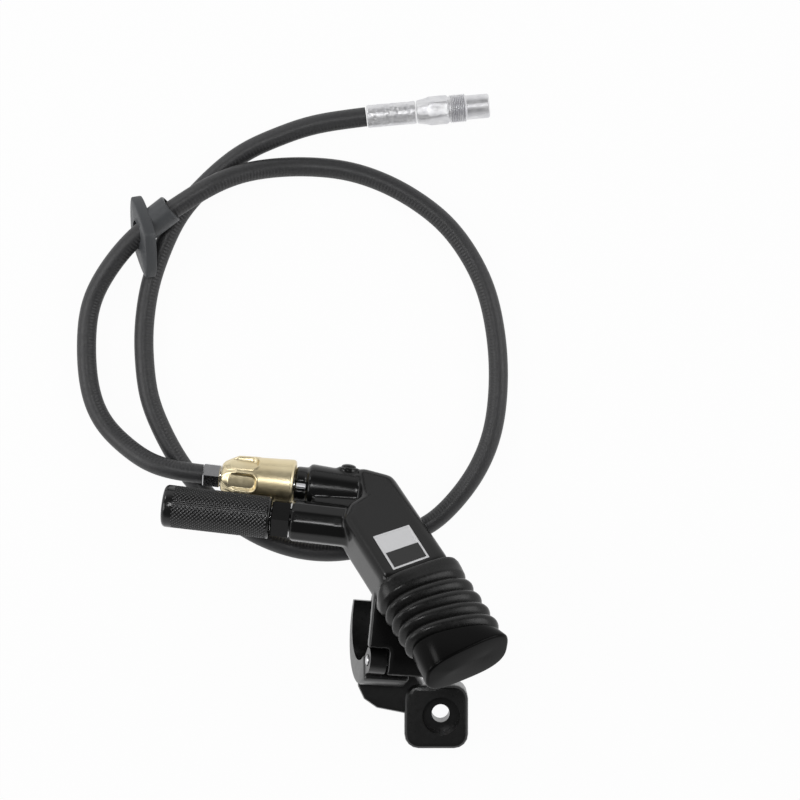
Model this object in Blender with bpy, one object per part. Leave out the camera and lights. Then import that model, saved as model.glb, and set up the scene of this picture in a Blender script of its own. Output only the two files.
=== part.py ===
"""Fork lockout lever: a hydraulic push-button remote with its handlebar clamp and hose.

The lever is drawn in its own flat plane: X runs along the hose port, Z comes out of the front.
That plane is then tipped back and laid on a table, as the lever comes to rest.
The clamp is drawn about the handlebar: X runs along the bar, Z faces away from the table.
"""

import math

import bmesh
import bpy
from mathutils import Euler, Matrix, Vector

MM = 0.001

# Fits
SEAT = 0.3 * MM
OVERCUT = 1.0 * MM

# How the lever and the handlebar lie above the table
LEVER_AT = Vector((6.17, 27.86, 8.62)) * MM
LEVER_TURN = Euler((math.radians(-45.5), math.radians(-1.5), math.radians(-6.5)))
ARM_TURN = Euler((0, 0, math.radians(-57.4)))
BAR_AT = Vector((7.57, -3.00, 15.87)) * MM
BAR_TURN = Euler((0, math.radians(13.0), math.radians(-5.5)))

# Port barrel, along the port axis
PORT_LEFT = -12.6 * MM
PORT_NOSE_LEFT = -15.9 * MM
PORT_RIGHT = 4.0 * MM
PORT_RADIUS = 5.9 * MM
PORT_SMALL_RADIUS = 4.9 * MM
PORT_NOSE_RADIUS = 4.9 * MM
PORT_BORE = 2.9 * MM
PORT_BORE_END = -4.0 * MM

# Adjuster housing, beside the port barrel
ADJUSTER_AT = Vector((0, -12.1, 0)) * MM
HOUSING_LEFT = -15.3 * MM
HOUSING_RIGHT = 6.0 * MM
HOUSING_RADIUS = 5.3 * MM
HOUSING_BORE = 3.2 * MM
HOUSING_BORE_END = -6.5 * MM

# Arm that carries the push button, and the section of its boot
BOOT_WIDTH = 23.2 * MM
BOOT_THICK = 14.2 * MM
BOOT_VALLEY = 1.5 * MM
BOOT_WALL = 1.1 * MM
ARM_LEFT = 9.7 * MM
ARM_RIGHT = 8.7 * MM
ARM_THICK = 13.0 * MM
ARM_END = 34.3 * MM
ARM_EDGE = 2.2 * MM
SPIGOT_LENGTH = 2.4 * MM
SPIGOT_WIDTH = BOOT_WIDTH - 2 * (BOOT_VALLEY + BOOT_WALL + SEAT)
SPIGOT_THICK = BOOT_THICK - 2 * (BOOT_VALLEY + BOOT_WALL + SEAT)
CYLINDER_BORE = 3.5 * MM
CYLINDER_FLOOR = 7.0 * MM

# Gold gate knob
KNOB_RIGHT = PORT_NOSE_LEFT - SEAT
KNOB_LENGTH = 18.6 * MM
KNOB_RADIUS = 6.4 * MM
KNOB_SMALL_RADIUS = 5.7 * MM
KNOB_LIP_RADIUS = 3.4 * MM
KNOB_CHAMFER = 3.9 * MM
POCKET_COUNT = 6
POCKET_LENGTH = 9.8 * MM
POCKET_WIDTH = 5.0 * MM
POCKET_DEPTH = 1.1 * MM

# Stem that the gate knob turns on
STEM_RADIUS = 2.6 * MM
STEM_BORE = 1.3 * MM
STEM_RIGHT = PORT_BORE_END - SEAT
KNOB_BORE = STEM_RADIUS + SEAT
O_RING_WIRE = 0.4 * MM

# Hose nut and what grips the hose in it
NUT_CORNER = 3.2 * MM
NUT_LENGTH = 4.4 * MM
NUT_RIGHT = KNOB_RIGHT - KNOB_LENGTH - SEAT
NUT_LEFT = NUT_RIGHT - NUT_LENGTH

# Detent plunger between the port barrel and the knob
DETENT_RADIUS = 0.7 * MM
DETENT_LENGTH = 2.6 * MM
DETENT_BEARING = math.radians(134.0)

# Knurled adjuster
GRIP_LENGTH = 27.2 * MM
GRIP_RADIUS = 5.35 * MM
GRIP_EDGE = 1.1 * MM
NECK_LENGTH = 4.6 * MM
NECK_CORNER = 5.0 * MM
SPINDLE_RADIUS = 1.8 * MM
SHANK_RADIUS = HOUSING_BORE - SEAT

# Bleed screw on the port barrel
BLEED_AT = -2.8 * MM
BLEED_BEARING = math.radians(45.0)
BLEED_HEAD_RADIUS = 1.95 * MM
BLEED_SHANK_RADIUS = 1.1 * MM
BLEED_SEAT_HEIGHT = 6.1 * MM

# Push button, boot and master cylinder
BOOT_START = ARM_END + SEAT
BOOT_RIDGES = 5
BOOT_PITCH = 3.8 * MM
BOOT_SLANT = -2.1 * MM
CAP_START = BOOT_START + BOOT_RIDGES * BOOT_PITCH + SEAT
CAP_LENGTH = 6.1 * MM
CAP_END = CAP_START + CAP_LENGTH
CAP_WIDTH = 22.4 * MM
CAP_THICK = 13.8 * MM
CAP_SLANT = 0.4 * MM
BUTTON_TRAVEL = 6.0 * MM
ROD_RADIUS = 1.5 * MM
ROD_SOCKET = 3.0 * MM
PISTON_RADIUS = CYLINDER_BORE - SEAT
PISTON_LENGTH = 6.0 * MM
PISTON_START = 19.0 * MM
SPRING_WIRE = 0.4 * MM
SPRING_TURNS = 6

# Handlebar clamp
BAR_RADIUS = 11.1 * MM
STRAP_WIDTH = 11.6 * MM
STRAP_OUTER = 14.8 * MM
STRAP_OUTER_CENTRE = Vector((0, -2.2, 1.0)) * MM
SADDLE_OUTER = 12.9 * MM
PLATE_FRONT = 13.7 * MM
PIN_AT = Vector((0, -9.7, 10.1)) * MM
PIN_RADIUS = 1.2 * MM
PIN_LENGTH = 9.6 * MM
KNUCKLE_RADIUS = 3.2 * MM
KNUCKLE_WIDTH = 4.5 * MM
PLATE_RIGHT = 15.5 * MM
CLAMP_BOLT_Y = 15.6 * MM
CLAMP_BOLT_X = 8.0 * MM
CLAMP_BOLT_RADIUS = 1.6 * MM
CLAMP_LUG_RADIUS = 3.2 * MM
CLAMP_LUG_THICK = 2.8 * MM
SPLIT_HEIGHT = -2.0 * MM
SPLIT_GAP = 0.4 * MM
BOLT_BACK = 1.6 * MM
BOLT_TIP = 0.8 * MM
BOLT_HEAD_RADIUS = 2.6 * MM
BOLT_HEAD_THICK = 1.7 * MM

# Accessory ear on the clamp strap
EAR_AT = Vector((26.37, -28.90, 0)) * MM
EAR_HOLE_AT = Vector((1.2, 0.2)) * MM
EAR_SIZE = 16.2 * MM
EAR_LOW = 1.4 * MM
EAR_TOP = 13.6 * MM
EAR_CORNER = 3.6 * MM
EAR_HOLE = 2.3 * MM
EAR_POCKET = 4.8 * MM
EAR_POCKET_FLOOR = 8.5 * MM

# Hose, its guide and its end fitting
HOSE_RADIUS = 2.5 * MM
HOSE_POINTS = 76
HOSE_ROUTE = (
    (-33.4, 32.4, 7.3), (-37.1, 32.9, 7.7), (-41.2, 33.5, 8.0),
    (-46.9, 35.2, 7.3), (-51.8, 38.3, 5.2), (-55.6, 41.3, 3.6),
    (-59.1, 44.7, 2.8), (-62.0, 50.1, 2.6), (-63.5, 56.6, 2.6),
    (-64.0, 64.3, 2.6), (-63.6, 72.6, 2.7), (-62.3, 77.8, 3.1),
    (-60.0, 82.1, 4.0), (-55.9, 87.8, 5.6), (-50.8, 93.2, 7.1),
    (-46.6, 96.5, 7.9), (-40.4, 100.5, 8.4), (-34.5, 104.4, 8.4),
    (-28.4, 107.8, 7.6), (-22.0, 110.2, 5.4), (-15.1, 111.4, 3.5),
    (-8.9, 111.8, 2.7), (-0.9, 111.4, 2.6), (6.9, 109.9, 2.6),
    (17.2, 105.6, 2.6), (27.8, 98.2, 2.6), (34.5, 89.9, 2.6),
    (39.3, 80.4, 2.6), (41.6, 70.8, 2.6), (42.6, 61.7, 2.6),
    (42.4, 51.4, 2.6), (40.5, 40.8, 2.6), (35.1, 29.9, 2.6),
    (25.0, 19.2, 2.6), (14.2, 15.5, 2.6), (3.0, 12.2, 2.6),
    (-10.0, 12.9, 2.6), (-22.9, 18.3, 2.6), (-33.2, 27.1, 2.6),
    (-40.9, 36.9, 2.6), (-47.0, 49.5, 2.6), (-48.5, 56.6, 2.6),
    (-49.2, 66.9, 2.6), (-48.6, 74.7, 2.6), (-47.1, 82.8, 2.6),
    (-42.8, 94.1, 2.6), (-39.2, 100.6, 2.6), (-34.8, 105.5, 2.6),
    (-29.9, 110.4, 2.6), (-23.9, 115.1, 2.6), (-19.5, 117.4, 2.6),
    (-8.1, 121.8, 3.0), (-0.9, 123.3, 3.5), (8.4, 124.5, 3.8),
)
GUIDE_AT = Vector((-49.33, 94.50, 7.62)) * MM
GUIDE_TURN = Euler((0, math.radians(-6.0), math.radians(36.9)))
GUIDE_SPAN = 21.6 * MM
GUIDE_HEIGHT = 12.8 * MM
GUIDE_THICK = 2.6 * MM
GUIDE_SLEEVE_RADIUS = 3.9 * MM
GUIDE_SLEEVE_LENGTH = 6.0 * MM
FITTING_AT = Vector((8.67, 124.53, 3.82)) * MM
FITTING_TURN = Euler((0, 0, math.radians(5.2)))
SLEEVE_RADIUS = 2.95 * MM
SLEEVE_LENGTH = 12.6 * MM
COUPLING_CORNER = 3.75 * MM
COUPLING_HEX_LENGTH = 8.2 * MM
COUPLING_THREAD_RADIUS = 3.4 * MM
COUPLING_THREAD_LENGTH = 4.7 * MM
COUPLING_TIP_RADIUS = 3.1 * MM
COUPLING_TIP_LENGTH = 5.8 * MM
COUPLING_BORE = 1.0 * MM

ROUND = 32
SMALL_ROUND = 20


def clear_scene():
    for obj in list(bpy.data.objects):
        bpy.data.objects.remove(obj, do_unlink=True)


def finish(name, colour, roughness, metallic):
    """A material of one plain colour."""
    made = bpy.data.materials.new(name)
    made.use_nodes = True
    shader = made.node_tree.nodes["Principled BSDF"]
    shader.inputs["Base Color"].default_value = (*colour, 1)
    shader.inputs["Roughness"].default_value = roughness
    shader.inputs["Metallic"].default_value = metallic
    return made


def axis_empty(name, at, turn=Euler((0, 0, 0)), parent=None):
    """An empty that carries the pieces drawn about one axis."""
    made = bpy.data.objects.new(name, None)
    bpy.context.scene.collection.objects.link(made)
    made.parent = parent
    made.location = at
    made.rotation_euler = turn
    return made


def placed(name, shape, material, parent, at=(0, 0, 0), turn=(0, 0, 0)):
    """Turns a bmesh into an object that rides on its parent empty."""
    bmesh.ops.recalc_face_normals(shape, faces=shape.faces)
    mesh = bpy.data.meshes.new(name)
    shape.to_mesh(mesh)
    shape.free()
    mesh.shade_smooth()
    mesh.set_sharp_from_angle(angle=math.radians(32))
    made = bpy.data.objects.new(name, mesh)
    bpy.context.scene.collection.objects.link(made)
    made.parent = parent
    made.location = at
    made.rotation_euler = turn
    if material:
        mesh.materials.append(material)
    return made


def helper(obj):
    """Marks an object as a cutter or a lump that another object takes in."""
    obj.hide_render = True
    obj.display_type = "WIRE"
    return obj


def combine(target, other, operation, solver="EXACT"):
    modifier = target.modifiers.new(other.name, "BOOLEAN")
    modifier.operation = operation
    modifier.solver = solver
    modifier.object = helper(other)


def join(target, *others):
    for other in others:
        combine(target, other, "UNION")


def cut(target, *others, solver="EXACT"):
    for other in others:
        combine(target, other, "DIFFERENCE", solver)


def soften(obj, width, segments=2, angle=40.0):
    """Rounds the sharp edges of an object."""
    bevel = obj.modifiers.new("soften", "BEVEL")
    bevel.width = width
    bevel.segments = segments
    bevel.limit_method = "ANGLE"
    bevel.angle_limit = math.radians(angle)
    bevel.use_clamp_overlap = True
    return obj


def turned(profile, steps=ROUND, phase=0.0):
    """A shape turned about X from (x, radius) points; one with a bore has a closed profile."""
    shape = bmesh.new()
    rings = []
    for x, radius in profile:
        if radius == 0:
            rings.append([shape.verts.new((x, 0, 0))])
            continue
        ring = []
        for step in range(steps):
            angle = phase + math.tau * step / steps
            ring.append(shape.verts.new((x, radius * math.cos(angle), radius * math.sin(angle))))
        rings.append(ring)
    open_ended = len(rings[0]) == 1
    pairs = list(zip(rings, rings[1:]))
    if not open_ended:
        pairs.append((rings[-1], rings[0]))
    for first, second in pairs:
        for step in range(steps):
            after = (step + 1) % steps
            if len(first) == 1:
                shape.faces.new((first[0], second[after], second[step]))
            elif len(second) == 1:
                shape.faces.new((first[step], first[after], second[0]))
            else:
                shape.faces.new((first[step], first[after], second[after], second[step]))
    return shape


def rod(left, right, radius, steps=SMALL_ROUND, phase=0.0, edge=0.0):
    """A plain round or many-sided bar, with chamfered ends if an edge is given."""
    if edge:
        profile = [(left, 0), (left, radius - edge), (left + edge, radius)]
        profile += [(right - edge, radius), (right, radius - edge), (right, 0)]
    else:
        profile = [(left, 0), (left, radius), (right, radius), (right, 0)]
    return turned(profile, steps, phase)


def tube(left, right, outer, inner, steps=SMALL_ROUND):
    return turned([(left, inner), (left, outer), (right, outer), (right, inner)], steps)


def prism(outline, low, high):
    """A flat outline in XY, made thick from low to high."""
    shape = bmesh.new()
    bottom = [shape.verts.new((x, y, low)) for x, y in outline]
    top = [shape.verts.new((x, y, high)) for x, y in outline]
    shape.faces.new(reversed(bottom))
    shape.faces.new(top)
    count = len(outline)
    for step in range(count):
        after = (step + 1) % count
        shape.faces.new((bottom[step], bottom[after], top[after], top[step]))
    return shape


def block(low, high):
    outline = ((low[0], low[1]), (high[0], low[1]), (high[0], high[1]), (low[0], high[1]))
    return prism(outline, low[2], high[2])


def across(shape):
    """Turns a prism drawn in XY so that its thickness runs along X and its outline lies in YZ."""
    swap = Matrix(((0, 0, 1), (1, 0, 0), (0, 1, 0))).to_4x4()
    bmesh.ops.transform(shape, matrix=swap, verts=shape.verts)
    return shape


def arc(centre, radius, start, end, steps):
    """Points on an arc, with its angles in degrees."""
    points = []
    for step in range(steps + 1):
        angle = math.radians(start + (end - start) * step / steps)
        points.append((centre[0] + radius * math.cos(angle), centre[1] + radius * math.sin(angle)))
    return points


def rounded_box(width, height, corner, steps=4):
    """The outline of a rectangle with round corners, about its centre."""
    points = []
    for turn, (side, up) in enumerate(((1, 1), (-1, 1), (-1, -1), (1, -1))):
        centre = (side * (width / 2 - corner), up * (height / 2 - corner))
        points += arc(centre, corner, 90 * turn, 90 * turn + 90, steps)
    return points


def oval(width, thick, steps=ROUND):
    """A flattened ring: points (side, out) that run from a round end to the other."""
    points = []
    for step in range(steps):
        angle = math.tau * step / steps
        side, out = math.cos(angle), math.sin(angle)
        points.append((
            width / 2 * math.copysign(abs(side) ** 0.82, side),
            thick / 2 * math.copysign(abs(out) ** 0.82, out),
        ))
    return points


def skinned(rings, closed):
    """Joins rings of points with faces: capped at both ends, or closed on itself like a tube wall."""
    shape = bmesh.new()
    made = [[shape.verts.new(point) for point in ring] for ring in rings]
    pairs = list(zip(made, made[1:]))
    if closed:
        pairs.append((made[-1], made[0]))
    for first, second in pairs:
        for step in range(len(first)):
            after = (step + 1) % len(first)
            shape.faces.new((first[step], first[after], second[after], second[step]))
    if not closed:
        shape.faces.new(made[0])
        shape.faces.new(made[-1])
    return shape


def ring_at(x, width, thick, slant=0.0):
    """An oval across the arm's axis, sheared so that its left side lies further out by the slant."""
    return [(x - slant * 2 * side / width, side, out) for side, out in oval(width, thick)]


def make_materials():
    return {
        "black_gloss": finish("black_gloss", (0.012, 0.012, 0.014), 0.18, 0.0),
        "black_anodised": finish("black_anodised", (0.02, 0.02, 0.022), 0.4, 0.6),
        "gold_anodised": finish("gold_anodised", (0.62, 0.5, 0.27), 0.28, 0.9),
        "steel": finish("steel", (0.45, 0.45, 0.46), 0.3, 1.0),
        "silver_aluminium": finish("silver_aluminium", (0.72, 0.72, 0.74), 0.35, 0.9),
        "black_rubber": finish("black_rubber", (0.02, 0.02, 0.02), 0.65, 0.0),
        "hose_black": finish("hose_black", (0.03, 0.03, 0.03), 0.55, 0.0),
        "brass": finish("brass", (0.65, 0.48, 0.2), 0.35, 1.0),
    }


def make_body(materials, axes):
    """The forged body: port barrel, adjuster housing, arm, saddle over the bar and hinge knuckle."""
    bend = ARM_TURN.z
    along = Vector((math.cos(bend), math.sin(bend)))
    beside = Vector((-math.sin(bend), math.cos(bend)))
    top = 2.3 * MM
    bottom = ADJUSTER_AT.y - 4.8 * MM
    corner = along * ((ARM_RIGHT * beside.y - top) / -along.y) + beside * ARM_RIGHT
    inner = along * ((-ARM_LEFT * beside.y - bottom) / -along.y) - beside * ARM_LEFT
    outline = [
        corner,
        Vector((-1.0 * MM, top + 1.8 * MM)),
        Vector((1.5 * MM, -5.6 * MM)),
        Vector((-1.5 * MM, -9.0 * MM)),
        Vector((-2.4 * MM, bottom + 2.6 * MM)),
        inner + along * 1.8 * MM,
        along * ARM_END - beside * ARM_LEFT,
        along * ARM_END + beside * ARM_RIGHT,
    ]
    slab = prism([tuple(point) for point in outline], -ARM_THICK / 2, ARM_THICK / 2)
    body = placed("lever_body", slab, materials["black_gloss"], axes["lever"])
    soften(body, ARM_EDGE, 3, 30)

    barrel = turned([
        (PORT_NOSE_LEFT, 0), (PORT_NOSE_LEFT, PORT_NOSE_RADIUS),
        (PORT_LEFT, PORT_NOSE_RADIUS), (PORT_LEFT, PORT_RADIUS - 0.5 * MM),
        (PORT_LEFT + 0.5 * MM, PORT_RADIUS), (PORT_RIGHT, PORT_SMALL_RADIUS),
        (PORT_RIGHT + 2.4 * MM, PORT_SMALL_RADIUS * 0.8), (PORT_RIGHT + 3.4 * MM, 0),
    ])
    housing = turned([
        (HOUSING_LEFT, 0), (HOUSING_LEFT, HOUSING_RADIUS - 0.4 * MM),
        (HOUSING_LEFT + 0.4 * MM, HOUSING_RADIUS), (HOUSING_RIGHT - 6 * MM, HOUSING_RADIUS),
        (HOUSING_RIGHT, HOUSING_RADIUS * 0.6), (HOUSING_RIGHT + 1 * MM, 0),
    ], 12, math.radians(15.6))
    web = block((PORT_LEFT + 2 * MM, ADJUSTER_AT.y + 3 * MM, -2.4 * MM),
                (1 * MM, -3 * MM, 2.4 * MM))
    join(
        body,
        placed("port_barrel_lump", barrel, None, axes["lever"]),
        placed("housing_lump", housing, None, axes["adjuster"]),
        placed("web_lump", web, None, axes["lever"]),
        placed("spigot_lump", spigot_shape(), None, axes["arm"]),
        bleed_boss(axes),
        saddle(axes),
        clamp_boss(axes),
    )
    cut(
        body,
        placed("bar_space", rod(-8 * MM, 30 * MM, BAR_RADIUS, 64), None, axes["bar"]),
        placed("strap_space", prism(strap_outline(), -14 * MM, SPLIT_HEIGHT), None, axes["bar"]),
        placed("cylinder_bore", rod(CYLINDER_FLOOR, ARM_END + 8 * MM, CYLINDER_BORE, 24), None,
               axes["arm"]),
        placed("port_bore", rod(PORT_NOSE_LEFT - OVERCUT, PORT_BORE_END, PORT_BORE), None,
               axes["lever"]),
        placed("housing_bore", rod(HOUSING_LEFT - OVERCUT, HOUSING_BORE_END, HOUSING_BORE), None,
               axes["adjuster"]),
        placed("bleed_hole", rod(3.2 * MM, 12 * MM, BLEED_SHANK_RADIUS + SEAT, 16), None,
               axes["bleed"]),
        placed("detent_hole", rod(PORT_NOSE_LEFT - OVERCUT, PORT_NOSE_LEFT + 3.4 * MM,
                                  DETENT_RADIUS + SEAT, 12), None, axes["detent"]),
        placed("knuckle_space", knuckle_space(), None, axes["pin"]),
        placed("pin_hole", rod(-4 * MM, PIN_LENGTH + SEAT, PIN_RADIUS + SEAT, 16), None,
               axes["pin"]),
        placed("clamp_thread", rod(-12 * MM, SPLIT_HEIGHT + BOLT_TIP + BOLT_BACK + SEAT,
                                   CLAMP_BOLT_RADIUS + SEAT, 16), None,
               axes["clamp_bolt"]),
        solver="MANIFOLD",
    )
    return body


def spigot_shape():
    """The lip at the arm's end that the boot stretches over."""
    return skinned([
        ring_at(x, SPIGOT_WIDTH, SPIGOT_THICK) for x in (ARM_END - 2 * MM, ARM_END + SPIGOT_LENGTH)
    ], False)


def strap_outline():
    """The outline, seen along the clamp bolt, of the space that the strap's end closes into."""
    reach = CLAMP_LUG_RADIUS + 2 * SEAT
    return [(-2 * MM, 4 * MM), (STRAP_WIDTH + 2 * SEAT, 4 * MM),
            (STRAP_WIDTH + 2 * SEAT, CLAMP_BOLT_Y),
            *arc((CLAMP_BOLT_X, CLAMP_BOLT_Y), reach, 5, 175, 12), (-2 * MM, CLAMP_BOLT_Y)]


def knuckle_space():
    """The slot in the plate, open at the front, in which the strap's knuckle turns."""
    reach = KNUCKLE_RADIUS + SEAT
    outline = arc((0, 0), reach, 180, 360, 14)
    outline += [(reach, PLATE_FRONT), (-reach, PLATE_FRONT)]
    return across(prism(outline, -3 * MM, KNUCKLE_WIDTH + SEAT))


def boot_clearance():
    """The space beyond the arm's end that the saddle leaves to the boot."""
    room = 4 * SEAT
    return skinned([
        ring_at(x, BOOT_WIDTH + room, BOOT_THICK + room) for x in (ARM_END - OVERCUT, CAP_END)
    ], False)


def bleed_boss(axes):
    shape = rod(2.0 * MM, BLEED_SEAT_HEIGHT, BLEED_HEAD_RADIUS + 0.7 * MM, 20)
    return placed("bleed_boss_lump", shape, None, axes["bleed"])


def saddle(axes):
    """The half shell over the bar, its flat front plate and the body's hinge knuckle."""
    low = SPLIT_HEIGHT - OVERCUT
    shell = arc((0, 0), SADDLE_OUTER, math.degrees(math.asin(low / SADDLE_OUTER)), 139, 18)
    shell = across(prism(shell + [(0, low)], 0, STRAP_WIDTH))
    lump = placed("saddle_lump", shell, None, axes["bar"])
    plate = block((-0.4 * MM, PIN_AT.y - KNUCKLE_RADIUS + 0.2 * MM, BAR_RADIUS - 0.5 * MM),
                  (PLATE_RIGHT, 7.5 * MM, PLATE_FRONT))
    knuckle = rod(KNUCKLE_WIDTH - OVERCUT, PLATE_RIGHT - 3 * MM, KNUCKLE_RADIUS, 24, 0.1)
    join(
        lump,
        soften(placed("plate_lump", plate, None, axes["bar"]), 0.5 * MM),
        placed("knuckle_lump", knuckle, None, axes["pin"]),
    )
    cut(lump, placed("boot_space", boot_clearance(), None, axes["arm"]))
    return lump


def clamp_boss(axes):
    """The threaded boss behind the arm that takes the clamp bolt."""
    shape = rod(SPLIT_HEIGHT - OVERCUT, 8 * MM, CLAMP_LUG_RADIUS, 20)
    return placed("clamp_boss_lump", shape, None, axes["clamp_bolt"])


def make_port_pieces(materials, axes):
    lever = axes["lever"]
    left = KNOB_RIGHT - KNOB_LENGTH
    knob = turned([
        (left, KNOB_BORE), (left, KNOB_LIP_RADIUS), (left + 0.4 * MM, KNOB_LIP_RADIUS + 0.5 * MM),
        (left + KNOB_CHAMFER, KNOB_SMALL_RADIUS), (KNOB_RIGHT - 0.5 * MM, KNOB_RADIUS),
        (KNOB_RIGHT, KNOB_RADIUS - 0.4 * MM), (KNOB_RIGHT, KNOB_RADIUS - 1.3 * MM),
        (KNOB_RIGHT - 2 * MM, KNOB_RADIUS - 1.6 * MM), (KNOB_RIGHT - 2 * MM, KNOB_BORE),
    ], 48)
    knob = placed("gate_knob", knob, materials["gold_anodised"], lever)
    for turn in range(POCKET_COUNT):
        cut(knob, finger_pocket(turn, left, lever))

    stem = turned([
        (left - NUT_LENGTH * 0.5, STEM_BORE), (left - NUT_LENGTH * 0.5, 1.9 * MM),
        (left - SEAT, 1.9 * MM), (left - SEAT, STEM_RADIUS),
        (PORT_NOSE_LEFT + 4.0 * MM, STEM_RADIUS), (PORT_NOSE_LEFT + 4.0 * MM, STEM_RADIUS - 1.0 * MM),
        (PORT_NOSE_LEFT + 5.4 * MM, STEM_RADIUS - 1.0 * MM), (PORT_NOSE_LEFT + 5.4 * MM, STEM_RADIUS),
        (STEM_RIGHT, STEM_RADIUS), (STEM_RIGHT, STEM_BORE),
    ], 24)
    placed("gate_stem", stem, materials["steel"], lever)

    groove_middle = PORT_NOSE_LEFT + 4.7 * MM
    ring_radius = PORT_BORE - O_RING_WIRE - SEAT * 0.8
    placed("stem_o_ring", ring(ring_radius, O_RING_WIRE, groove_middle), materials["black_rubber"],
           lever)

    nut_bore = 1.9 * MM + SEAT
    nut = turned([
        (NUT_LEFT, 1.2 * MM), (NUT_LEFT, NUT_CORNER - 0.25 * MM),
        (NUT_LEFT + 0.25 * MM, NUT_CORNER), (NUT_RIGHT - 0.25 * MM, NUT_CORNER),
        (NUT_RIGHT, NUT_CORNER - 0.25 * MM), (NUT_RIGHT, nut_bore),
        (NUT_RIGHT - NUT_LENGTH * 0.5 - 0.6 * MM, nut_bore),
        (NUT_RIGHT - NUT_LENGTH * 0.5 - 0.6 * MM, 1.2 * MM),
    ], 6, math.radians(15.6))
    placed("hose_nut", nut, materials["steel"], lever)

    barb = tube(NUT_LEFT + 0.2 * MM, left - NUT_LENGTH * 0.5 + 3 * MM, 0.9 * MM, 0.4 * MM, 12)
    placed("hose_barb", barb, materials["brass"], lever)

    plunger = rod(PORT_NOSE_LEFT + 0.5 * MM, PORT_NOSE_LEFT + 0.5 * MM + DETENT_LENGTH,
                  DETENT_RADIUS, 12, 0, 0.15 * MM)
    placed("detent_plunger", plunger, materials["steel"], axes["detent"])


def finger_pocket(turn, left, lever):
    """A cutter for one finger pocket: an arch that is open at the knob's small end."""
    floor = KNOB_SMALL_RADIUS - POCKET_DEPTH
    half = POCKET_WIDTH / 2
    arch_x = left + POCKET_LENGTH - half
    outline = [(left + 0.3 * MM, -half), *arc((arch_x, 0), half, -90, 90, 10),
               (left + 0.3 * MM, half)]
    shape = prism(outline, floor, floor + 4 * MM)
    bearing = math.tau * turn / POCKET_COUNT + math.radians(52)
    return placed(f"finger_pocket_{turn}", shape, None, lever, turn=(bearing, 0, 0))


def ring(radius, wire, middle, steps=24):
    """A round seal about X."""
    profile = []
    for step in range(8):
        angle = math.tau * step / 8
        profile.append((middle + wire * math.cos(angle), radius + wire * math.sin(angle)))
    return turned(profile, steps)


def make_adjuster(materials, axes):
    axis = axes["adjuster"]
    neck_left = HOUSING_LEFT - SEAT - NECK_LENGTH
    grip_right = neck_left - SEAT
    grip_left = grip_right - GRIP_LENGTH
    grip = turned([
        (grip_left, 0), (grip_left, GRIP_RADIUS - GRIP_EDGE),
        (grip_left + 0.3 * GRIP_EDGE, GRIP_RADIUS - 0.3 * GRIP_EDGE),
        (grip_left + GRIP_EDGE, GRIP_RADIUS), (grip_right - 0.3 * MM, GRIP_RADIUS),
        (grip_right, GRIP_RADIUS - 0.3 * MM), (grip_right, SPINDLE_RADIUS + SEAT),
        (grip_right - 0.6 * GRIP_LENGTH, SPINDLE_RADIUS + SEAT),
        (grip_right - 0.6 * GRIP_LENGTH, 0),
    ], 40)
    placed("adjuster_grip", grip, materials["black_anodised"], axis)
    neck = turned([
        (neck_left, SPINDLE_RADIUS + SEAT), (neck_left, NECK_CORNER - 0.3 * MM),
        (neck_left + 0.3 * MM, NECK_CORNER), (HOUSING_LEFT - SEAT, NECK_CORNER),
        (HOUSING_LEFT - SEAT, SPINDLE_RADIUS + SEAT),
    ], 6, math.radians(15.6))
    neck = placed("adjuster_neck", neck, materials["black_anodised"], axis)
    shank = tube(HOUSING_LEFT - SEAT - 0.5 * MM, HOUSING_LEFT + 5.0 * MM, SHANK_RADIUS,
                 SPINDLE_RADIUS + SEAT, 24)
    join(neck, placed("neck_shank_lump", shank, None, axis))
    spindle = rod(grip_right - 0.6 * GRIP_LENGTH + SEAT, HOUSING_BORE_END - SEAT, SPINDLE_RADIUS,
                  16, 0, 0.2 * MM)
    placed("adjuster_spindle", spindle, materials["steel"], axis)


def make_bleed_screw(materials, axes):
    seat = BLEED_SEAT_HEIGHT + SEAT
    screw = turned([
        (3.6 * MM, 0), (3.6 * MM, BLEED_SHANK_RADIUS), (seat, BLEED_SHANK_RADIUS),
        (seat, BLEED_HEAD_RADIUS), (seat + 0.5 * MM, BLEED_HEAD_RADIUS),
        (seat + 1.1 * MM, BLEED_HEAD_RADIUS * 0.75), (seat + 1.3 * MM, BLEED_HEAD_RADIUS * 0.4),
        (seat + 1.3 * MM, 0),
    ], 20)
    screw = placed("bleed_screw", screw, materials["black_anodised"], axes["bleed"])
    socket = rod(seat + 0.4 * MM, seat + 3 * MM, 0.7 * MM, 6)
    cut(screw, placed("bleed_socket", socket, None, axes["bleed"]))


def boot_rings():
    """Rings of the bellows: outside from arm to cap, then inside back again."""
    outside, inside = [], []
    for ridge in range(BOOT_RIDGES):
        start = BOOT_START + ridge * BOOT_PITCH
        for share, depth in ((0.0, 1.0), (0.18, 0.35), (0.5, 0.0), (0.82, 0.35)):
            outside.append((start + share * BOOT_PITCH, depth))
    outside.append((BOOT_START + BOOT_RIDGES * BOOT_PITCH, 1.0))
    rings = []
    for x, depth in outside:
        inset = 2 * BOOT_VALLEY * depth
        rings.append(ring_at(x, BOOT_WIDTH - inset, BOOT_THICK - inset, BOOT_SLANT * boot_share(x)))
    for x, depth in reversed(outside):
        inset = 2 * BOOT_VALLEY + 2 * BOOT_WALL - BOOT_VALLEY * (1 - depth)
        rings.append(ring_at(x, BOOT_WIDTH - inset, BOOT_THICK - inset, BOOT_SLANT * boot_share(x)))
    return rings


def boot_share(x):
    return (x - BOOT_START) / (BOOT_RIDGES * BOOT_PITCH)


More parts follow.
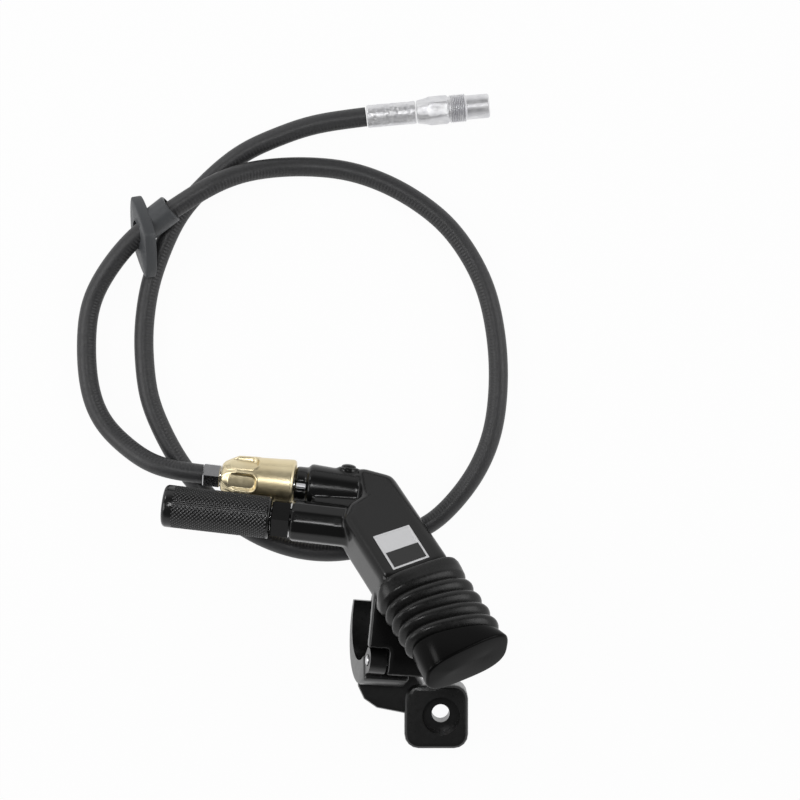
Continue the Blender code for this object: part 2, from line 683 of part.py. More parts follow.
def make_button(materials, axes):
    arm = axes["arm"]
    placed("bellows_boot", skinned(boot_rings(), True), materials["black_rubber"], arm)

    rim = 0.7 * MM
    cap = skinned([
        ring_at(CAP_START, CAP_WIDTH - 3 * MM, CAP_THICK - 3 * MM, BOOT_SLANT),
        ring_at(CAP_START + rim, CAP_WIDTH - rim, CAP_THICK - rim, BOOT_SLANT),
        ring_at(CAP_END - rim * 0.7, CAP_WIDTH, CAP_THICK, CAP_SLANT),
        ring_at(CAP_END, CAP_WIDTH - rim, CAP_THICK - rim, CAP_SLANT),
    ], False)
    cap = placed("button_cap", cap, materials["black_gloss"], arm)
    socket = rod(CAP_START - ROD_SOCKET, CAP_START + ROD_SOCKET, ROD_RADIUS + SEAT, 16)
    cut(cap, placed("rod_socket", socket, None, arm))

    piston_end = PISTON_START + PISTON_LENGTH
    groove = PISTON_START + 1.6 * MM
    piston = turned([
        (PISTON_START, 0), (PISTON_START, PISTON_RADIUS), (groove, PISTON_RADIUS),
        (groove, PISTON_RADIUS - 1.2 * MM), (groove + 1.6 * MM, PISTON_RADIUS - 1.2 * MM),
        (groove + 1.6 * MM, PISTON_RADIUS), (piston_end, PISTON_RADIUS),
        (piston_end, 0),
    ], 24)
    placed("master_piston", piston, materials["silver_aluminium"], arm)
    seal = ring(PISTON_RADIUS - 0.55 * MM, 0.5 * MM, groove + 0.8 * MM)
    placed("piston_seal", seal, materials["black_rubber"], arm)
    push_rod = rod(piston_end + SEAT, CAP_START + ROD_SOCKET - SEAT, ROD_RADIUS, 16, 0, 0.2 * MM)
    placed("push_rod", push_rod, materials["steel"], arm)
    guide = tube(ARM_END - 2.2 * MM, ARM_END + SPIGOT_LENGTH - 0.2 * MM, CYLINDER_BORE - SEAT,
                 ROD_RADIUS + SEAT, 24)
    placed("rod_guide", guide, materials["black_anodised"], arm)
    placed("return_spring", spring_shape(), materials["steel"], arm)


def spring_shape():
    """A coil between the floor of the cylinder and the piston."""
    start = CYLINDER_FLOOR + SEAT + SPRING_WIRE
    end = PISTON_START - SEAT - SPRING_WIRE
    radius = PISTON_RADIUS - 0.6 * MM - SPRING_WIRE
    steps = SPRING_TURNS * 12
    rings = []
    for step in range(steps + 1):
        angle = math.tau * SPRING_TURNS * step / steps
        x = start + (end - start) * step / steps
        out = Vector((0, math.cos(angle), math.sin(angle)))
        loop = []
        for side in range(6):
            wind = math.tau * side / 6
            point = out * (radius + SPRING_WIRE * math.cos(wind))
            loop.append(point + Vector((x + SPRING_WIRE * math.sin(wind), 0, 0)))
        rings.append(loop)
    return skinned(rings, False)


def make_clamp(materials, axes):
    """The hinged strap with its accessory ear, the hinge pin and the captive clamp bolt."""
    bar = axes["bar"]
    outer_centre = (STRAP_OUTER_CENTRE.y, STRAP_OUTER_CENTRE.z)
    split = SPLIT_HEIGHT - SPLIT_GAP
    end = 360 + math.degrees(math.asin((split - STRAP_OUTER_CENTRE.z) / STRAP_OUTER))
    shell = arc(outer_centre, STRAP_OUTER, 146, end, 28) + [(8 * MM, split)]
    strap = across(prism(shell, 0, STRAP_WIDTH))
    strap = soften(placed("clamp_strap", strap, materials["black_gloss"], bar), 0.8 * MM, 2, 45)
    knuckle = rod(SEAT, KNUCKLE_WIDTH, KNUCKLE_RADIUS, 24)
    bridge = prism([
        (PIN_AT.y - KNUCKLE_RADIUS, PIN_AT.z), (PIN_AT.y - 5.2 * MM, PIN_AT.z - 4 * MM),
        (PIN_AT.y - 2 * MM, PIN_AT.z - 6 * MM), (PIN_AT.y + 1.2 * MM, PIN_AT.z - 3 * MM),
        (PIN_AT.y + 1 * MM, PIN_AT.z),
    ], SEAT, KNUCKLE_WIDTH)
    lug_low = split - CLAMP_LUG_THICK
    lug = rod(lug_low, split, CLAMP_LUG_RADIUS, 20)
    lug_bridge = block((CLAMP_BOLT_X - CLAMP_LUG_RADIUS, 9 * MM, lug_low),
                       (CLAMP_BOLT_X + CLAMP_LUG_RADIUS, CLAMP_BOLT_Y, split))
    join(
        strap,
        placed("strap_knuckle_lump", knuckle, None, axes["pin"]),
        placed("strap_bridge_lump", across(bridge), None, bar),
        placed("strap_lug_lump", lug, None, axes["clamp_bolt"]),
        placed("lug_bridge_lump", lug_bridge, None, bar),
        ear(axes),
        ear_web(axes),
    )
    cut(
        strap,
        placed("strap_bar_space", rod(-8 * MM, 40 * MM, BAR_RADIUS, 64), None, bar),
        placed("strap_pin_hole", rod(-4 * MM, 8 * MM, PIN_RADIUS + SEAT, 16), None, axes["pin"]),
        placed("lug_hole", rod(-12 * MM, 4 * MM, CLAMP_BOLT_RADIUS + SEAT, 16), None,
               axes["clamp_bolt"]),
        placed("split_trim", block((-2 * MM, 2.7 * MM, -20 * MM),
                                   (CLAMP_BOLT_X - CLAMP_LUG_RADIUS, 20 * MM, 4 * MM)), None, bar),
        placed("body_knuckle_space", rod(KNUCKLE_WIDTH + SEAT / 6, PLATE_RIGHT + 4 * MM,
                                         KNUCKLE_RADIUS + SEAT, 24), None, axes["pin"]),
        placed("ear_hole", prism(arc(EAR_HOLE_AT, EAR_HOLE, 0, 342, 19), -4 * MM, 30 * MM), None,
               axes["ear"]),
        placed("ear_pocket", prism(arc(EAR_HOLE_AT, EAR_POCKET, 0, 345, 23), EAR_POCKET_FLOOR, 30 * MM),
               None, axes["ear"]),
    )
    pin = rod(-0.1 * MM, PIN_LENGTH, PIN_RADIUS, 20, 0, 0.25 * MM)
    placed("hinge_pin", pin, materials["steel"], axes["pin"])
    head_top = lug_low - BOLT_BACK
    head_low = head_top - BOLT_HEAD_THICK
    bolt = turned([
        (head_low, 0), (head_low, BOLT_HEAD_RADIUS), (head_top, BOLT_HEAD_RADIUS),
        (head_top, CLAMP_BOLT_RADIUS), (split + BOLT_TIP, CLAMP_BOLT_RADIUS), (split + BOLT_TIP, 0),
    ], 20)
    bolt = placed("clamp_bolt", bolt, materials["black_anodised"], axes["clamp_bolt"])
    cut(bolt, placed("clamp_bolt_socket", rod(head_low - OVERCUT, head_low + 1.2 * MM, 1.4 * MM, 6), None,
                     axes["clamp_bolt"]))


def ear(axes):
    """The flat ear beside the strap, with a rounded outline."""
    outline = rounded_box(EAR_SIZE, EAR_SIZE, EAR_CORNER)
    lump = placed("ear_lump", prism(outline, EAR_LOW, EAR_TOP), None, axes["ear"])
    return soften(lump, 1.3 * MM, 3)


def ear_web(axes):
    """The web that runs from under the strap's heel to the ear."""
    outline = [
        (-20.4, 13.0), (-19.9, 7.5), (-18.4, 4.3), (-15.1, 2.0), (-8.4, 0.7), (-4.0, -1.0),
        (-3.0, 8.0), (-8.0, 15.0), (-18.0, 16.0),
    ]
    shape = prism([(x * MM, y * MM) for x, y in outline], 3.0 * MM, EAR_TOP - 1.5 * MM)
    return soften(placed("ear_web_lump", shape, None, axes["ear"]), 1.0 * MM, 2)


def smooth_route(route, count):
    """Evenly spaced points on a smooth curve through the route."""
    points = [Vector(point) * MM for point in route]
    dense = []
    for step in range(len(points) - 1):
        before = points[max(step - 1, 0)]
        here, after = points[step], points[step + 1]
        beyond = points[min(step + 2, len(points) - 1)]
        for part in range(12):
            t = part / 12
            dense.append(0.5 * (
                2 * here + (after - before) * t
                + (2 * before - 5 * here + 4 * after - beyond) * t ** 2
                + (3 * here - before - 3 * after + beyond) * t ** 3
            ))
    dense.append(points[-1])
    lengths = [0.0]
    for here, after in zip(dense, dense[1:]):
        lengths.append(lengths[-1] + (after - here).length)
    spaced = []
    place = 0
    for step in range(count):
        wanted = lengths[-1] * step / (count - 1)
        while place < len(dense) - 2 and lengths[place + 1] < wanted:
            place += 1
        share = (wanted - lengths[place]) / (lengths[place + 1] - lengths[place])
        spaced.append(dense[place].lerp(dense[place + 1], share))
    return spaced


def make_hose(materials):
    curve = bpy.data.curves.new("hose", "CURVE")
    curve.dimensions = "3D"
    curve.bevel_depth = HOSE_RADIUS
    curve.bevel_resolution = 2
    curve.use_fill_caps = True
    spline = curve.splines.new("POLY")
    points = smooth_route(HOSE_ROUTE, HOSE_POINTS)
    spline.points.add(len(points) - 1)
    for point, place in zip(spline.points, points):
        point.co = (*place, 1)
    hose = bpy.data.objects.new("hose", curve)
    bpy.context.scene.collection.objects.link(hose)
    curve.materials.append(materials["hose_black"])


def make_guide(materials, axes):
    """The frame guide: a slanted flange plate with a sleeve that holds the hose."""
    axis = axes["guide"]
    half, high = GUIDE_SPAN / 2, GUIDE_HEIGHT / 2
    outline = [*arc((-half + 1.2 * MM, 0), 1.2 * MM, 120, 240, 4),
               *arc((0, -high + 3 * MM), 3 * MM, 240, 300, 4),
               *arc((half - 1.2 * MM, 0), 1.2 * MM, -60, 60, 4),
               *arc((0, high - 3 * MM), 3 * MM, 60, 120, 4)]
    plate = across(prism(outline, -GUIDE_THICK / 2, GUIDE_THICK / 2))
    lean = (0, 0, math.radians(-27))
    guide = placed("hose_guide", plate, materials["black_rubber"], axis, turn=lean)
    soften(guide, 0.7 * MM, 2)
    sleeve = rod(0, GUIDE_THICK / 2 + GUIDE_SLEEVE_LENGTH, GUIDE_SLEEVE_RADIUS, 24, 0, 0.3 * MM)
    join(guide, placed("guide_sleeve_lump", sleeve, None, axis))
    hole = rod(-6 * MM, 14 * MM, HOSE_RADIUS + 2.8 * SEAT, 20)
    cut(guide, placed("guide_hole", hole, None, axis))


def make_fitting(materials, axes):
    """The crimped sleeve and the threaded coupling at the fork end of the hose."""
    axis = axes["fitting"]
    sleeve = rod(0, SLEEVE_LENGTH, SLEEVE_RADIUS, 24, 0, 0.2 * MM)
    placed("end_sleeve", sleeve, materials["silver_aluminium"], axis)
    start = SLEEVE_LENGTH + SEAT
    hex_end = start + COUPLING_HEX_LENGTH
    coupling = turned([
        (start, 0), (start, COUPLING_CORNER - 0.3 * MM), (start + 0.3 * MM, COUPLING_CORNER),
        (hex_end - 0.3 * MM, COUPLING_CORNER), (hex_end, COUPLING_CORNER - 0.3 * MM),
        (hex_end, 0),
    ], 6, math.radians(20))
    coupling = placed("end_coupling", coupling, materials["silver_aluminium"], axis)
    thread_end = hex_end + COUPLING_THREAD_LENGTH
    tip_end = thread_end + COUPLING_TIP_LENGTH
    tip = turned([
        (hex_end - OVERCUT, 0), (hex_end - OVERCUT, COUPLING_THREAD_RADIUS),
        (thread_end - 0.2 * MM, COUPLING_THREAD_RADIUS), (thread_end, COUPLING_TIP_RADIUS),
        (tip_end - 0.3 * MM, COUPLING_TIP_RADIUS), (tip_end, COUPLING_TIP_RADIUS - 0.3 * MM),
        (tip_end, COUPLING_BORE), (tip_end - 4 * MM, COUPLING_BORE), (tip_end - 4 * MM, 0),
    ], 32)
    join(coupling, placed("coupling_tip_lump", tip, None, axis))


def make_axes():
    axes = {"lever": axis_empty("lever_plane", LEVER_AT, LEVER_TURN)}
    lever = axes["lever"]
    axes["arm"] = axis_empty("arm_axis", (0, 0, 0), ARM_TURN, lever)
    axes["adjuster"] = axis_empty("adjuster_axis", ADJUSTER_AT, parent=lever)
    bleed_turn = Euler((BLEED_BEARING, 0, math.radians(90)), "ZXY")
    axes["bleed"] = axis_empty("bleed_axis", (BLEED_AT, 0, 0), parent=lever)
    axes["bleed"].rotation_mode = "ZXY"
    axes["bleed"].rotation_euler = bleed_turn
    reach = PORT_NOSE_RADIUS - 0.1 * MM
    detent_at = (0, reach * math.cos(DETENT_BEARING), reach * math.sin(DETENT_BEARING))
    axes["detent"] = axis_empty("detent_axis", detent_at, parent=lever)
    axes["bar"] = axis_empty("bar_axis", BAR_AT, BAR_TURN)
    axes["pin"] = axis_empty("pin_axis", PIN_AT, parent=axes["bar"])
    upright = Euler((0, math.radians(-90), 0))
    axes["clamp_bolt"] = axis_empty("clamp_bolt_axis", (CLAMP_BOLT_X, CLAMP_BOLT_Y, 0), upright,
                                    axes["bar"])
    axes["ear"] = axis_empty("ear_axis", EAR_AT)
    axes["guide"] = axis_empty("guide_axis", GUIDE_AT, GUIDE_TURN)
    axes["fitting"] = axis_empty("fitting_axis", FITTING_AT, FITTING_TURN)
    return axes


def main():
    clear_scene()
    materials = make_materials()
    axes = make_axes()
    make_body(materials, axes)
    make_port_pieces(materials, axes)
    make_adjuster(materials, axes)
    make_bleed_screw(materials, axes)
    make_button(materials, axes)
    make_clamp(materials, axes)
    make_hose(materials)
    make_guide(materials, axes)
    make_fitting(materials, axes)


main()
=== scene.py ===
"""Looks of the fork lockout lever: finishes, knurl, bellows, hose and studio.

Laid out as an add-on, and run as a script. Lengths are in metres, or in millimetres times MM.
"""

import math

import bmesh
import bpy
from bpy.props import (
    FloatProperty,
    FloatVectorProperty,
    IntProperty,
    PointerProperty,
)
from mathutils import Euler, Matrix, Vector, noise


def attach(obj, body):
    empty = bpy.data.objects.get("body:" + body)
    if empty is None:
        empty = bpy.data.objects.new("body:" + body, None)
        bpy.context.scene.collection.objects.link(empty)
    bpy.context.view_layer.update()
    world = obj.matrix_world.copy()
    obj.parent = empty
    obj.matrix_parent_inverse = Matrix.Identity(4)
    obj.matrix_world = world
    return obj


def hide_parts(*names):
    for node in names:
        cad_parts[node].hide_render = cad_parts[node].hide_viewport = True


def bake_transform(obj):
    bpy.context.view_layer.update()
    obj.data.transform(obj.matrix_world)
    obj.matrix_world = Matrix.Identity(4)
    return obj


bl_info = {
    "name": "Fork lockout lever",
    "version": (1, 0, 0),
    "blender": (4, 5, 0),
    "location": "3D View > Sidebar > Lever",
    "description": "Dresses the packed lever with its finishes, knurl, bellows and hose",
    "category": "Object",
}

MM = 0.001
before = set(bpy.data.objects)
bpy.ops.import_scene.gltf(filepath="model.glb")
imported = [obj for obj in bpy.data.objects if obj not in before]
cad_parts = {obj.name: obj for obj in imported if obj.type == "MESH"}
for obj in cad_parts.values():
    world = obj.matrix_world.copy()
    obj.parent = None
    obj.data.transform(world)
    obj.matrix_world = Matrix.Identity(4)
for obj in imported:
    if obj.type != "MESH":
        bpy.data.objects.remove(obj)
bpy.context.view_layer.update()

# The lever's plane, its arm and the table, as the solids have them
LEVER_AT = Vector((6.17, 27.86, 8.62)) * MM
LEVER_TURN = Euler((math.radians(-45.5), math.radians(-1.5), math.radians(-6.5))).to_matrix()
ARM_TURN = LEVER_TURN @ Euler((0, 0, math.radians(-57.4))).to_matrix()
ADJUSTER_AT = LEVER_AT + LEVER_TURN @ Vector((0, -12.1, 0)) * MM
FITTING_AT = Vector((8.67, 124.53, 3.82)) * MM
GUIDE_AT = Vector((-49.33, 94.50, 7.62)) * MM
FITTING_TURN = Euler((0, 0, math.radians(5.2))).to_matrix()

ARM_END = 34.3 * MM
BOOT_START = ARM_END + 0.3 * MM
BOOT_LENGTH = 19.0 * MM
BOOT_SLANT = -2.1 * MM
CAP_START = BOOT_START + BOOT_LENGTH + 0.3 * MM
CAP_END = 60.0 * MM
SPRING_START = 7.7 * MM
SPRING_END = 18.3 * MM
SPRING_RADIUS = 2.2 * MM
SPRING_WIRE = 0.4 * MM
SPRING_TURNS = 6
GRIP_RIGHT = -20.5 * MM
SLEEVE_LENGTH = 12.6 * MM
COUPLING_START = 12.9 * MM
BLEED_AT = Vector((3.389, 28.177, 8.547)) * MM
BLEED_AXIS = Vector((0.113426, 0.993508, -0.008723))

HOSE_ROUTE = (
    (-33.4, 32.4, 7.3), (-37.1, 32.9, 7.7), (-41.2, 33.5, 8.0),
    (-46.9, 35.2, 7.3), (-51.8, 38.3, 5.2), (-55.6, 41.3, 3.6),
    (-59.1, 44.7, 2.8), (-62.0, 50.1, 2.6), (-63.5, 56.6, 2.6),
    (-64.0, 64.3, 2.6), (-63.6, 72.6, 2.7), (-62.3, 77.8, 3.1),
    (-60.0, 82.1, 4.0), (-55.9, 87.8, 5.6), (-50.8, 93.2, 7.1),
    (-46.6, 96.5, 7.9), (-40.4, 100.5, 8.4), (-34.5, 104.4, 8.4),
    (-28.4, 107.8, 7.6), (-22.0, 110.2, 5.4), (-15.1, 111.4, 3.5),
    (-8.9, 111.8, 2.7), (-0.9, 111.4, 2.6), (6.9, 109.9, 2.6),
    (17.2, 105.6, 2.6), (27.8, 98.2, 2.6), (34.5, 89.9, 2.6),
    (39.3, 80.4, 2.6), (41.6, 70.8, 2.6), (42.6, 61.7, 2.6),
    (42.4, 51.4, 2.6), (40.5, 40.8, 2.6), (35.1, 29.9, 2.6),
    (25.0, 19.2, 2.6), (14.2, 15.5, 2.6), (3.0, 12.2, 2.6),
    (-10.0, 12.9, 2.6), (-22.9, 18.3, 2.6), (-33.2, 27.1, 2.6),
    (-40.9, 36.9, 2.6), (-47.0, 49.5, 2.6), (-48.5, 56.6, 2.6),
    (-49.2, 66.9, 2.6), (-48.6, 74.7, 2.6), (-47.1, 82.8, 2.6),
    (-42.8, 94.1, 2.6), (-39.2, 100.6, 2.6), (-34.8, 105.5, 2.6),
    (-29.9, 110.4, 2.6), (-23.9, 115.1, 2.6), (-19.5, 117.4, 2.6),
    (-8.1, 121.8, 3.0), (-0.9, 123.3, 3.5), (8.4, 124.5, 3.8),
)


class LeverFinishes(bpy.types.PropertyGroup):
    """Colours and polish of the lever's metal and rubber."""

    paint: FloatVectorProperty(
        name="Body paint", description="Colour of the body's black paint",
        subtype="COLOR", default=(0.004, 0.004, 0.004), min=0, max=1)
    paint_polish: FloatProperty(
        name="Paint roughness", description="Roughness of the body's paint",
        subtype="FACTOR", default=0.2, min=0, max=1)
    gold: FloatVectorProperty(
        name="Knob gold", description="Colour of the knob's anodising",
        subtype="COLOR", default=(0.74, 0.63, 0.4), min=0, max=1)
    rubber: FloatVectorProperty(
        name="Boot rubber", description="Colour of the bellows",
        subtype="COLOR", default=(0.006, 0.006, 0.006), min=0, max=1)


class GripSizes(bpy.types.PropertyGroup):
    """Sizes of the adjuster's knurl."""

    radius: FloatProperty(
        name="Radius", description="Outer radius of the knurled grip",
        subtype="DISTANCE", default=5.35 * MM, min=0.001)
    length: FloatProperty(
        name="Length", description="Length of the knurled grip",
        subtype="DISTANCE", default=27.2 * MM, min=0.001)
    pitch: FloatProperty(
        name="Knurl pitch", description="Distance from one knurl diamond to the next",
        subtype="DISTANCE", default=1.0 * MM, min=0.0001)
    depth: FloatProperty(
        name="Knurl depth", description="Depth of the knurl's grooves",
        subtype="DISTANCE", default=0.34 * MM, min=0)


class BootSizes(bpy.types.PropertyGroup):
    """Sizes of the bellows and of the push button's cap."""

    width: FloatProperty(
        name="Width", description="Width over the ridges",
        subtype="DISTANCE", default=23.2 * MM, min=0.001)
    thick: FloatProperty(
        name="Thickness", description="Thickness over the ridges",
        subtype="DISTANCE", default=14.2 * MM, min=0.001)
    valley: FloatProperty(
        name="Valley depth", description="Depth of the valleys between the ridges",
        subtype="DISTANCE", default=1.5 * MM, min=0)
    ridges: IntProperty(
        name="Ridges", description="Ridges between the arm and the cap", default=5, min=1)
    cap_width: FloatProperty(
        name="Cap width", description="Width of the button's cap",
        subtype="DISTANCE", default=22.4 * MM, min=0.001)
    cap_thick: FloatProperty(
        name="Cap thickness", description="Thickness of the button's cap",
        subtype="DISTANCE", default=13.8 * MM, min=0.001)


class HoseSizes(bpy.types.PropertyGroup):
    """Sizes of the hose and of the marks along it."""

    diameter: FloatProperty(
        name="Diameter", description="Outer diameter of the hose",
        subtype="DISTANCE", default=5.0 * MM, min=0.001)
    rib_pitch: FloatProperty(
        name="Rib pitch", description="Distance from one rib to the next along the hose",
        subtype="DISTANCE", default=0.9 * MM, min=0.0001)
    rib_depth: FloatProperty(
        name="Rib depth", description="Depth of the notches between the ribs",
        subtype="DISTANCE", default=0.16 * MM, min=0)


class StudioSizes(bpy.types.PropertyGroup):
    """Height and width of the camera's view, and the lamps' strength."""

    camera_height: FloatProperty(
        name="Camera height", description="Height of the camera above the table",
        subtype="DISTANCE", default=0.52, min=0.01)
    view_width: FloatProperty(
        name="View width", description="Width of table that the camera sees",
        subtype="DISTANCE", default=0.208, min=0.01)
    lamp_power: FloatProperty(
        name="Lamp power", description="Factor on all lamps", default=1.0, min=0)


# Mesh tools


def add_piece(name, mesh, material, body):
    """Links a mesh as a piece that rides on a body and takes its finish from a slot."""
    piece = bpy.data.objects.new(name, mesh)
    bpy.context.scene.collection.objects.link(piece)
    mesh.materials.append(material)
    if body:
        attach(piece, body)
    return piece


def mesh_from(name, shape, sharp):
    """Turns a bmesh into a smooth-shaded mesh whose edges are sharp above an angle in degrees."""
    bmesh.ops.recalc_face_normals(shape, faces=shape.faces)
    mesh = bpy.data.meshes.new(name)
    shape.to_mesh(mesh)
    shape.free()
    mesh.shade_smooth()
    mesh.set_sharp_from_angle(angle=math.radians(sharp))
    return mesh


def skin(rings, ends="capped"):
    """Joins rings of points with faces: capped, open, or closed into a wall."""
    shape = bmesh.new()
    loops = [[shape.verts.new(point) for point in ring] for ring in rings]
    pairs = list(zip(loops, loops[1:]))
    if ends == "wall":
        pairs.append((loops[-1], loops[0]))
    count = len(loops[0])
    for first, second in pairs:
        for step in range(count):
            after = (step + 1) % count
            shape.faces.new((first[step], first[after], second[after], second[step]))
    if ends == "capped":
        shape.faces.new(loops[0])
        shape.faces.new(loops[-1])
    return shape


def lathe(profile, steps, at, turn):
    """Rings about X from (x, radius) points, moved into place."""
    rings = []
    for x, radius in profile:
        rings.append([
            at + turn @ Vector((x, radius * math.cos(math.tau * step / steps),
                                radius * math.sin(math.tau * step / steps)))
            for step in range(steps)
        ])
    return rings


def oval_ring(x, width, thick, slant, round_power=0.82, dip=0.0, steps=96):
    """A flattened ring across the arm: its left side lies further out, its front dips there."""
    ring = []
    for step in range(steps):
        angle = math.tau * step / steps
        side, out = math.cos(angle), math.sin(angle)
        side = width / 2 * math.copysign(abs(side) ** round_power, side)
        out = thick / 2 * math.copysign(abs(out) ** round_power, out)
        if out > 0:
            out *= 1 - dip * (0.5 - side / width)
        ring.append(LEVER_AT + ARM_TURN @ Vector((x - slant * 2 * side / width, side, out)))
    return ring


def smooth_points(route, spacing):
    """Evenly spaced points on a smooth curve through the route, given in millimetres."""
    points = [Vector(point) * MM for point in route]
    parts = 16
    dense = []
    for step in range(len(points) - 1):
        before = points[max(step - 1, 0)]
        here, after = points[step], points[step + 1]
        beyond = points[min(step + 2, len(points) - 1)]
        for part in range(parts):
            t = part / parts
            dense.append(0.5 * (
                2 * here + (after - before) * t
                + (2 * before - 5 * here + 4 * after - beyond) * t ** 2
                + (3 * here - before - 3 * after + beyond) * t ** 3
            ))
    dense.append(points[-1])
    lengths = [0.0]
    for here, after in zip(dense, dense[1:]):
        lengths.append(lengths[-1] + (after - here).length)
    count = round(lengths[-1] / spacing)
    spaced = []
    place = 0
    for step in range(count + 1):
        wanted = lengths[-1] * step / count
        while place < len(dense) - 2 and lengths[place + 1] < wanted:
            place += 1
        share = (wanted - lengths[place]) / (lengths[place + 1] - lengths[place])
        spaced.append(dense[place].lerp(dense[place + 1], share))
    span = round(4 * MM / spacing)
    for _ in range(2):
        reach = [min(span, place, count - place) for place in range(count + 1)]
        spaced = [sum(spaced[place - near:place + near + 1], Vector()) / (2 * near + 1)
                  for place, near in enumerate(reach)]
    return spaced, sum((after - here).length for here, after in zip(spaced, spaced[1:]))


# Finishes


class Finish:
    """A node material that starts from one principled shader."""

    def __init__(self, name, colour, roughness, metallic=0.0):
        self.material = bpy.data.materials.new(name)
        self.material.use_nodes = True
        self.nodes = self.material.node_tree.nodes
        self.links = self.material.node_tree.links
        self.shader = self.nodes["Principled BSDF"]
        self.shader.inputs["Base Color"].default_value = (*tuple(colour), 1)
        self.shader.inputs["Roughness"].default_value = roughness
        self.shader.inputs["Metallic"].default_value = metallic
        self.place = self.nodes.new("ShaderNodeTexCoord").outputs["Object"]
        self.colour = tuple(colour)
        self.roughness = roughness

    def speckle(self, scale, detail=3.0, stretch=(1, 1, 1)):
        """A noise field in millimetre-sized grain."""
        mapping = self.nodes.new("ShaderNodeMapping")
        mapping.inputs["Scale"].default_value = stretch
        self.links.new(self.place, mapping.inputs["Vector"])
        field = self.nodes.new("ShaderNodeTexNoise")
        field.inputs["Scale"].default_value = scale
        field.inputs["Detail"].default_value = detail
        self.links.new(mapping.outputs["Vector"], field.inputs["Vector"])
        return field.outputs["Fac"]

    def ramp(self, value, low, high, out_low, out_high):
        """A value brought from one range into another."""
        mapped = self.nodes.new("ShaderNodeMapRange")
        mapped.inputs["From Min"].default_value = low
        mapped.inputs["From Max"].default_value = high
        mapped.inputs["To Min"].default_value = out_low
        mapped.inputs["To Max"].default_value = out_high
        self.links.new(value, mapped.inputs["Value"])
        return mapped.outputs["Result"]

    def shine(self, level):
        """Sets how strongly the surface mirrors."""
        self.shader.inputs["Specular IOR Level"].default_value = level
        return self

    def vary_roughness(self, scale, spread):
        """Lets the roughness wander about its value."""
        value = self.ramp(self.speckle(scale), 0.3, 0.7, self.roughness - spread,
                          self.roughness + spread)
        self.links.new(value, self.shader.inputs["Roughness"])
        return self

    def vary_colour(self, scale, other, low=0.35, high=0.65):
        """Clouds the colour with another one."""
        mix = self.nodes.new("ShaderNodeMix")
        mix.data_type = "RGBA"
        mix.inputs["A"].default_value = (*self.colour, 1)
        mix.inputs["B"].default_value = (*other, 1)
        self.links.new(self.ramp(self.speckle(scale), low, high, 0, 1), mix.inputs["Factor"])
        self.links.new(mix.outputs["Result"], self.shader.inputs["Base Color"])
        return self

    def grain(self, scale, strength, distance, stretch=(1, 1, 1)):
        """Roughens the surface with a fine bump."""
        bump = self.nodes.new("ShaderNodeBump")
        bump.inputs["Strength"].default_value = strength
        bump.inputs["Distance"].default_value = distance
        self.links.new(self.speckle(scale, 4.0, stretch), bump.inputs["Height"])
        self.links.new(bump.outputs["Normal"], self.shader.inputs["Normal"])
        return self


def make_finishes(looks):
    """Every finish of the lever, by its short name."""
    return {
        "paint": Finish("gloss_black_paint", looks.paint, looks.paint_polish)
        .shine(0.36).vary_roughness(300, 0.03).grain(2500, 0.04, 0.00002).material,
        "clamp": Finish("satin_black_cast", (0.005, 0.005, 0.005), 0.3)
        .vary_roughness(900, 0.03).vary_colour(2600, (0.011, 0.011, 0.011), 0.6, 0.8)
        .grain(2200, 0.05, 0.00002).material,
        "grip": Finish("knurled_anodising", (0.005, 0.005, 0.005), 0.2)
        .vary_roughness(2500, 0.04).material,
        # lighter grey for the knurl's diamond tips: a painted highlight
        "grip_tip_highlight": Finish("knurl_tips_painted_highlight", (0.15, 0.15, 0.155), 0.35, 0.5)
        .vary_roughness(900, 0.05).material,
        "neck": Finish("black_anodising", (0.004, 0.004, 0.004), 0.16)
        .shine(0.35).vary_roughness(700, 0.04).material,
        "gold": Finish("gold_anodising", looks.gold, 0.33, 1.0)
        .vary_roughness(900, 0.04).vary_colour(120, (0.8, 0.7, 0.47))
        .grain(400, 0.06, 0.00003, (10, 1, 1)).material,
        "steel": Finish("turned_steel", (0.55, 0.55, 0.56), 0.17, 1.0)
        .vary_roughness(900, 0.06).grain(500, 0.06, 0.00002, (10, 1, 1)).material,
        "silver": Finish("silver_fitting", (0.8, 0.8, 0.81), 0.46, 1.0)
        .vary_roughness(900, 0.08).vary_colour(500, (0.7, 0.7, 0.72)).material,
        "rubber": Finish("boot_rubber", looks.rubber, 0.3)
        .shine(0.3).vary_roughness(900, 0.06).vary_colour(1800, (0.01, 0.01, 0.01))
        .grain(2600, 0.12, 0.00002).material,
        "cap": Finish("button_gloss", (0.003, 0.003, 0.003), 0.2)
        .shine(0.07).vary_roughness(600, 0.03).grain(2500, 0.03, 0.00002).material,
        "hose": Finish("hose_jacket", (0.026, 0.026, 0.027), 0.46)
        .vary_roughness(900, 0.05).vary_colour(1500, (0.034, 0.034, 0.036)).material,
        "guide": Finish("guide_plastic", (0.055, 0.058, 0.062), 0.45)
        .vary_roughness(900, 0.05).grain(2500, 0.2, 0.00003).material,
        "seal": Finish("seal_rubber", (0.01, 0.01, 0.01), 0.6).vary_roughness(900, 0.05).material,
        "brass": Finish("bright_brass", (0.7, 0.52, 0.24), 0.3, 1.0)
        .vary_roughness(900, 0.06).material,
        "panel": Finish("plain_dark_panel", (0.008, 0.008, 0.008), 0.35)
        .vary_roughness(900, 0.05).material,
        "plate": Finish("plain_silver_plate", (0.64, 0.64, 0.65), 0.45, 0.4)
        .vary_roughness(1500, 0.06).grain(1500, 0.1, 0.00002, (6, 1, 1)).material,
    }


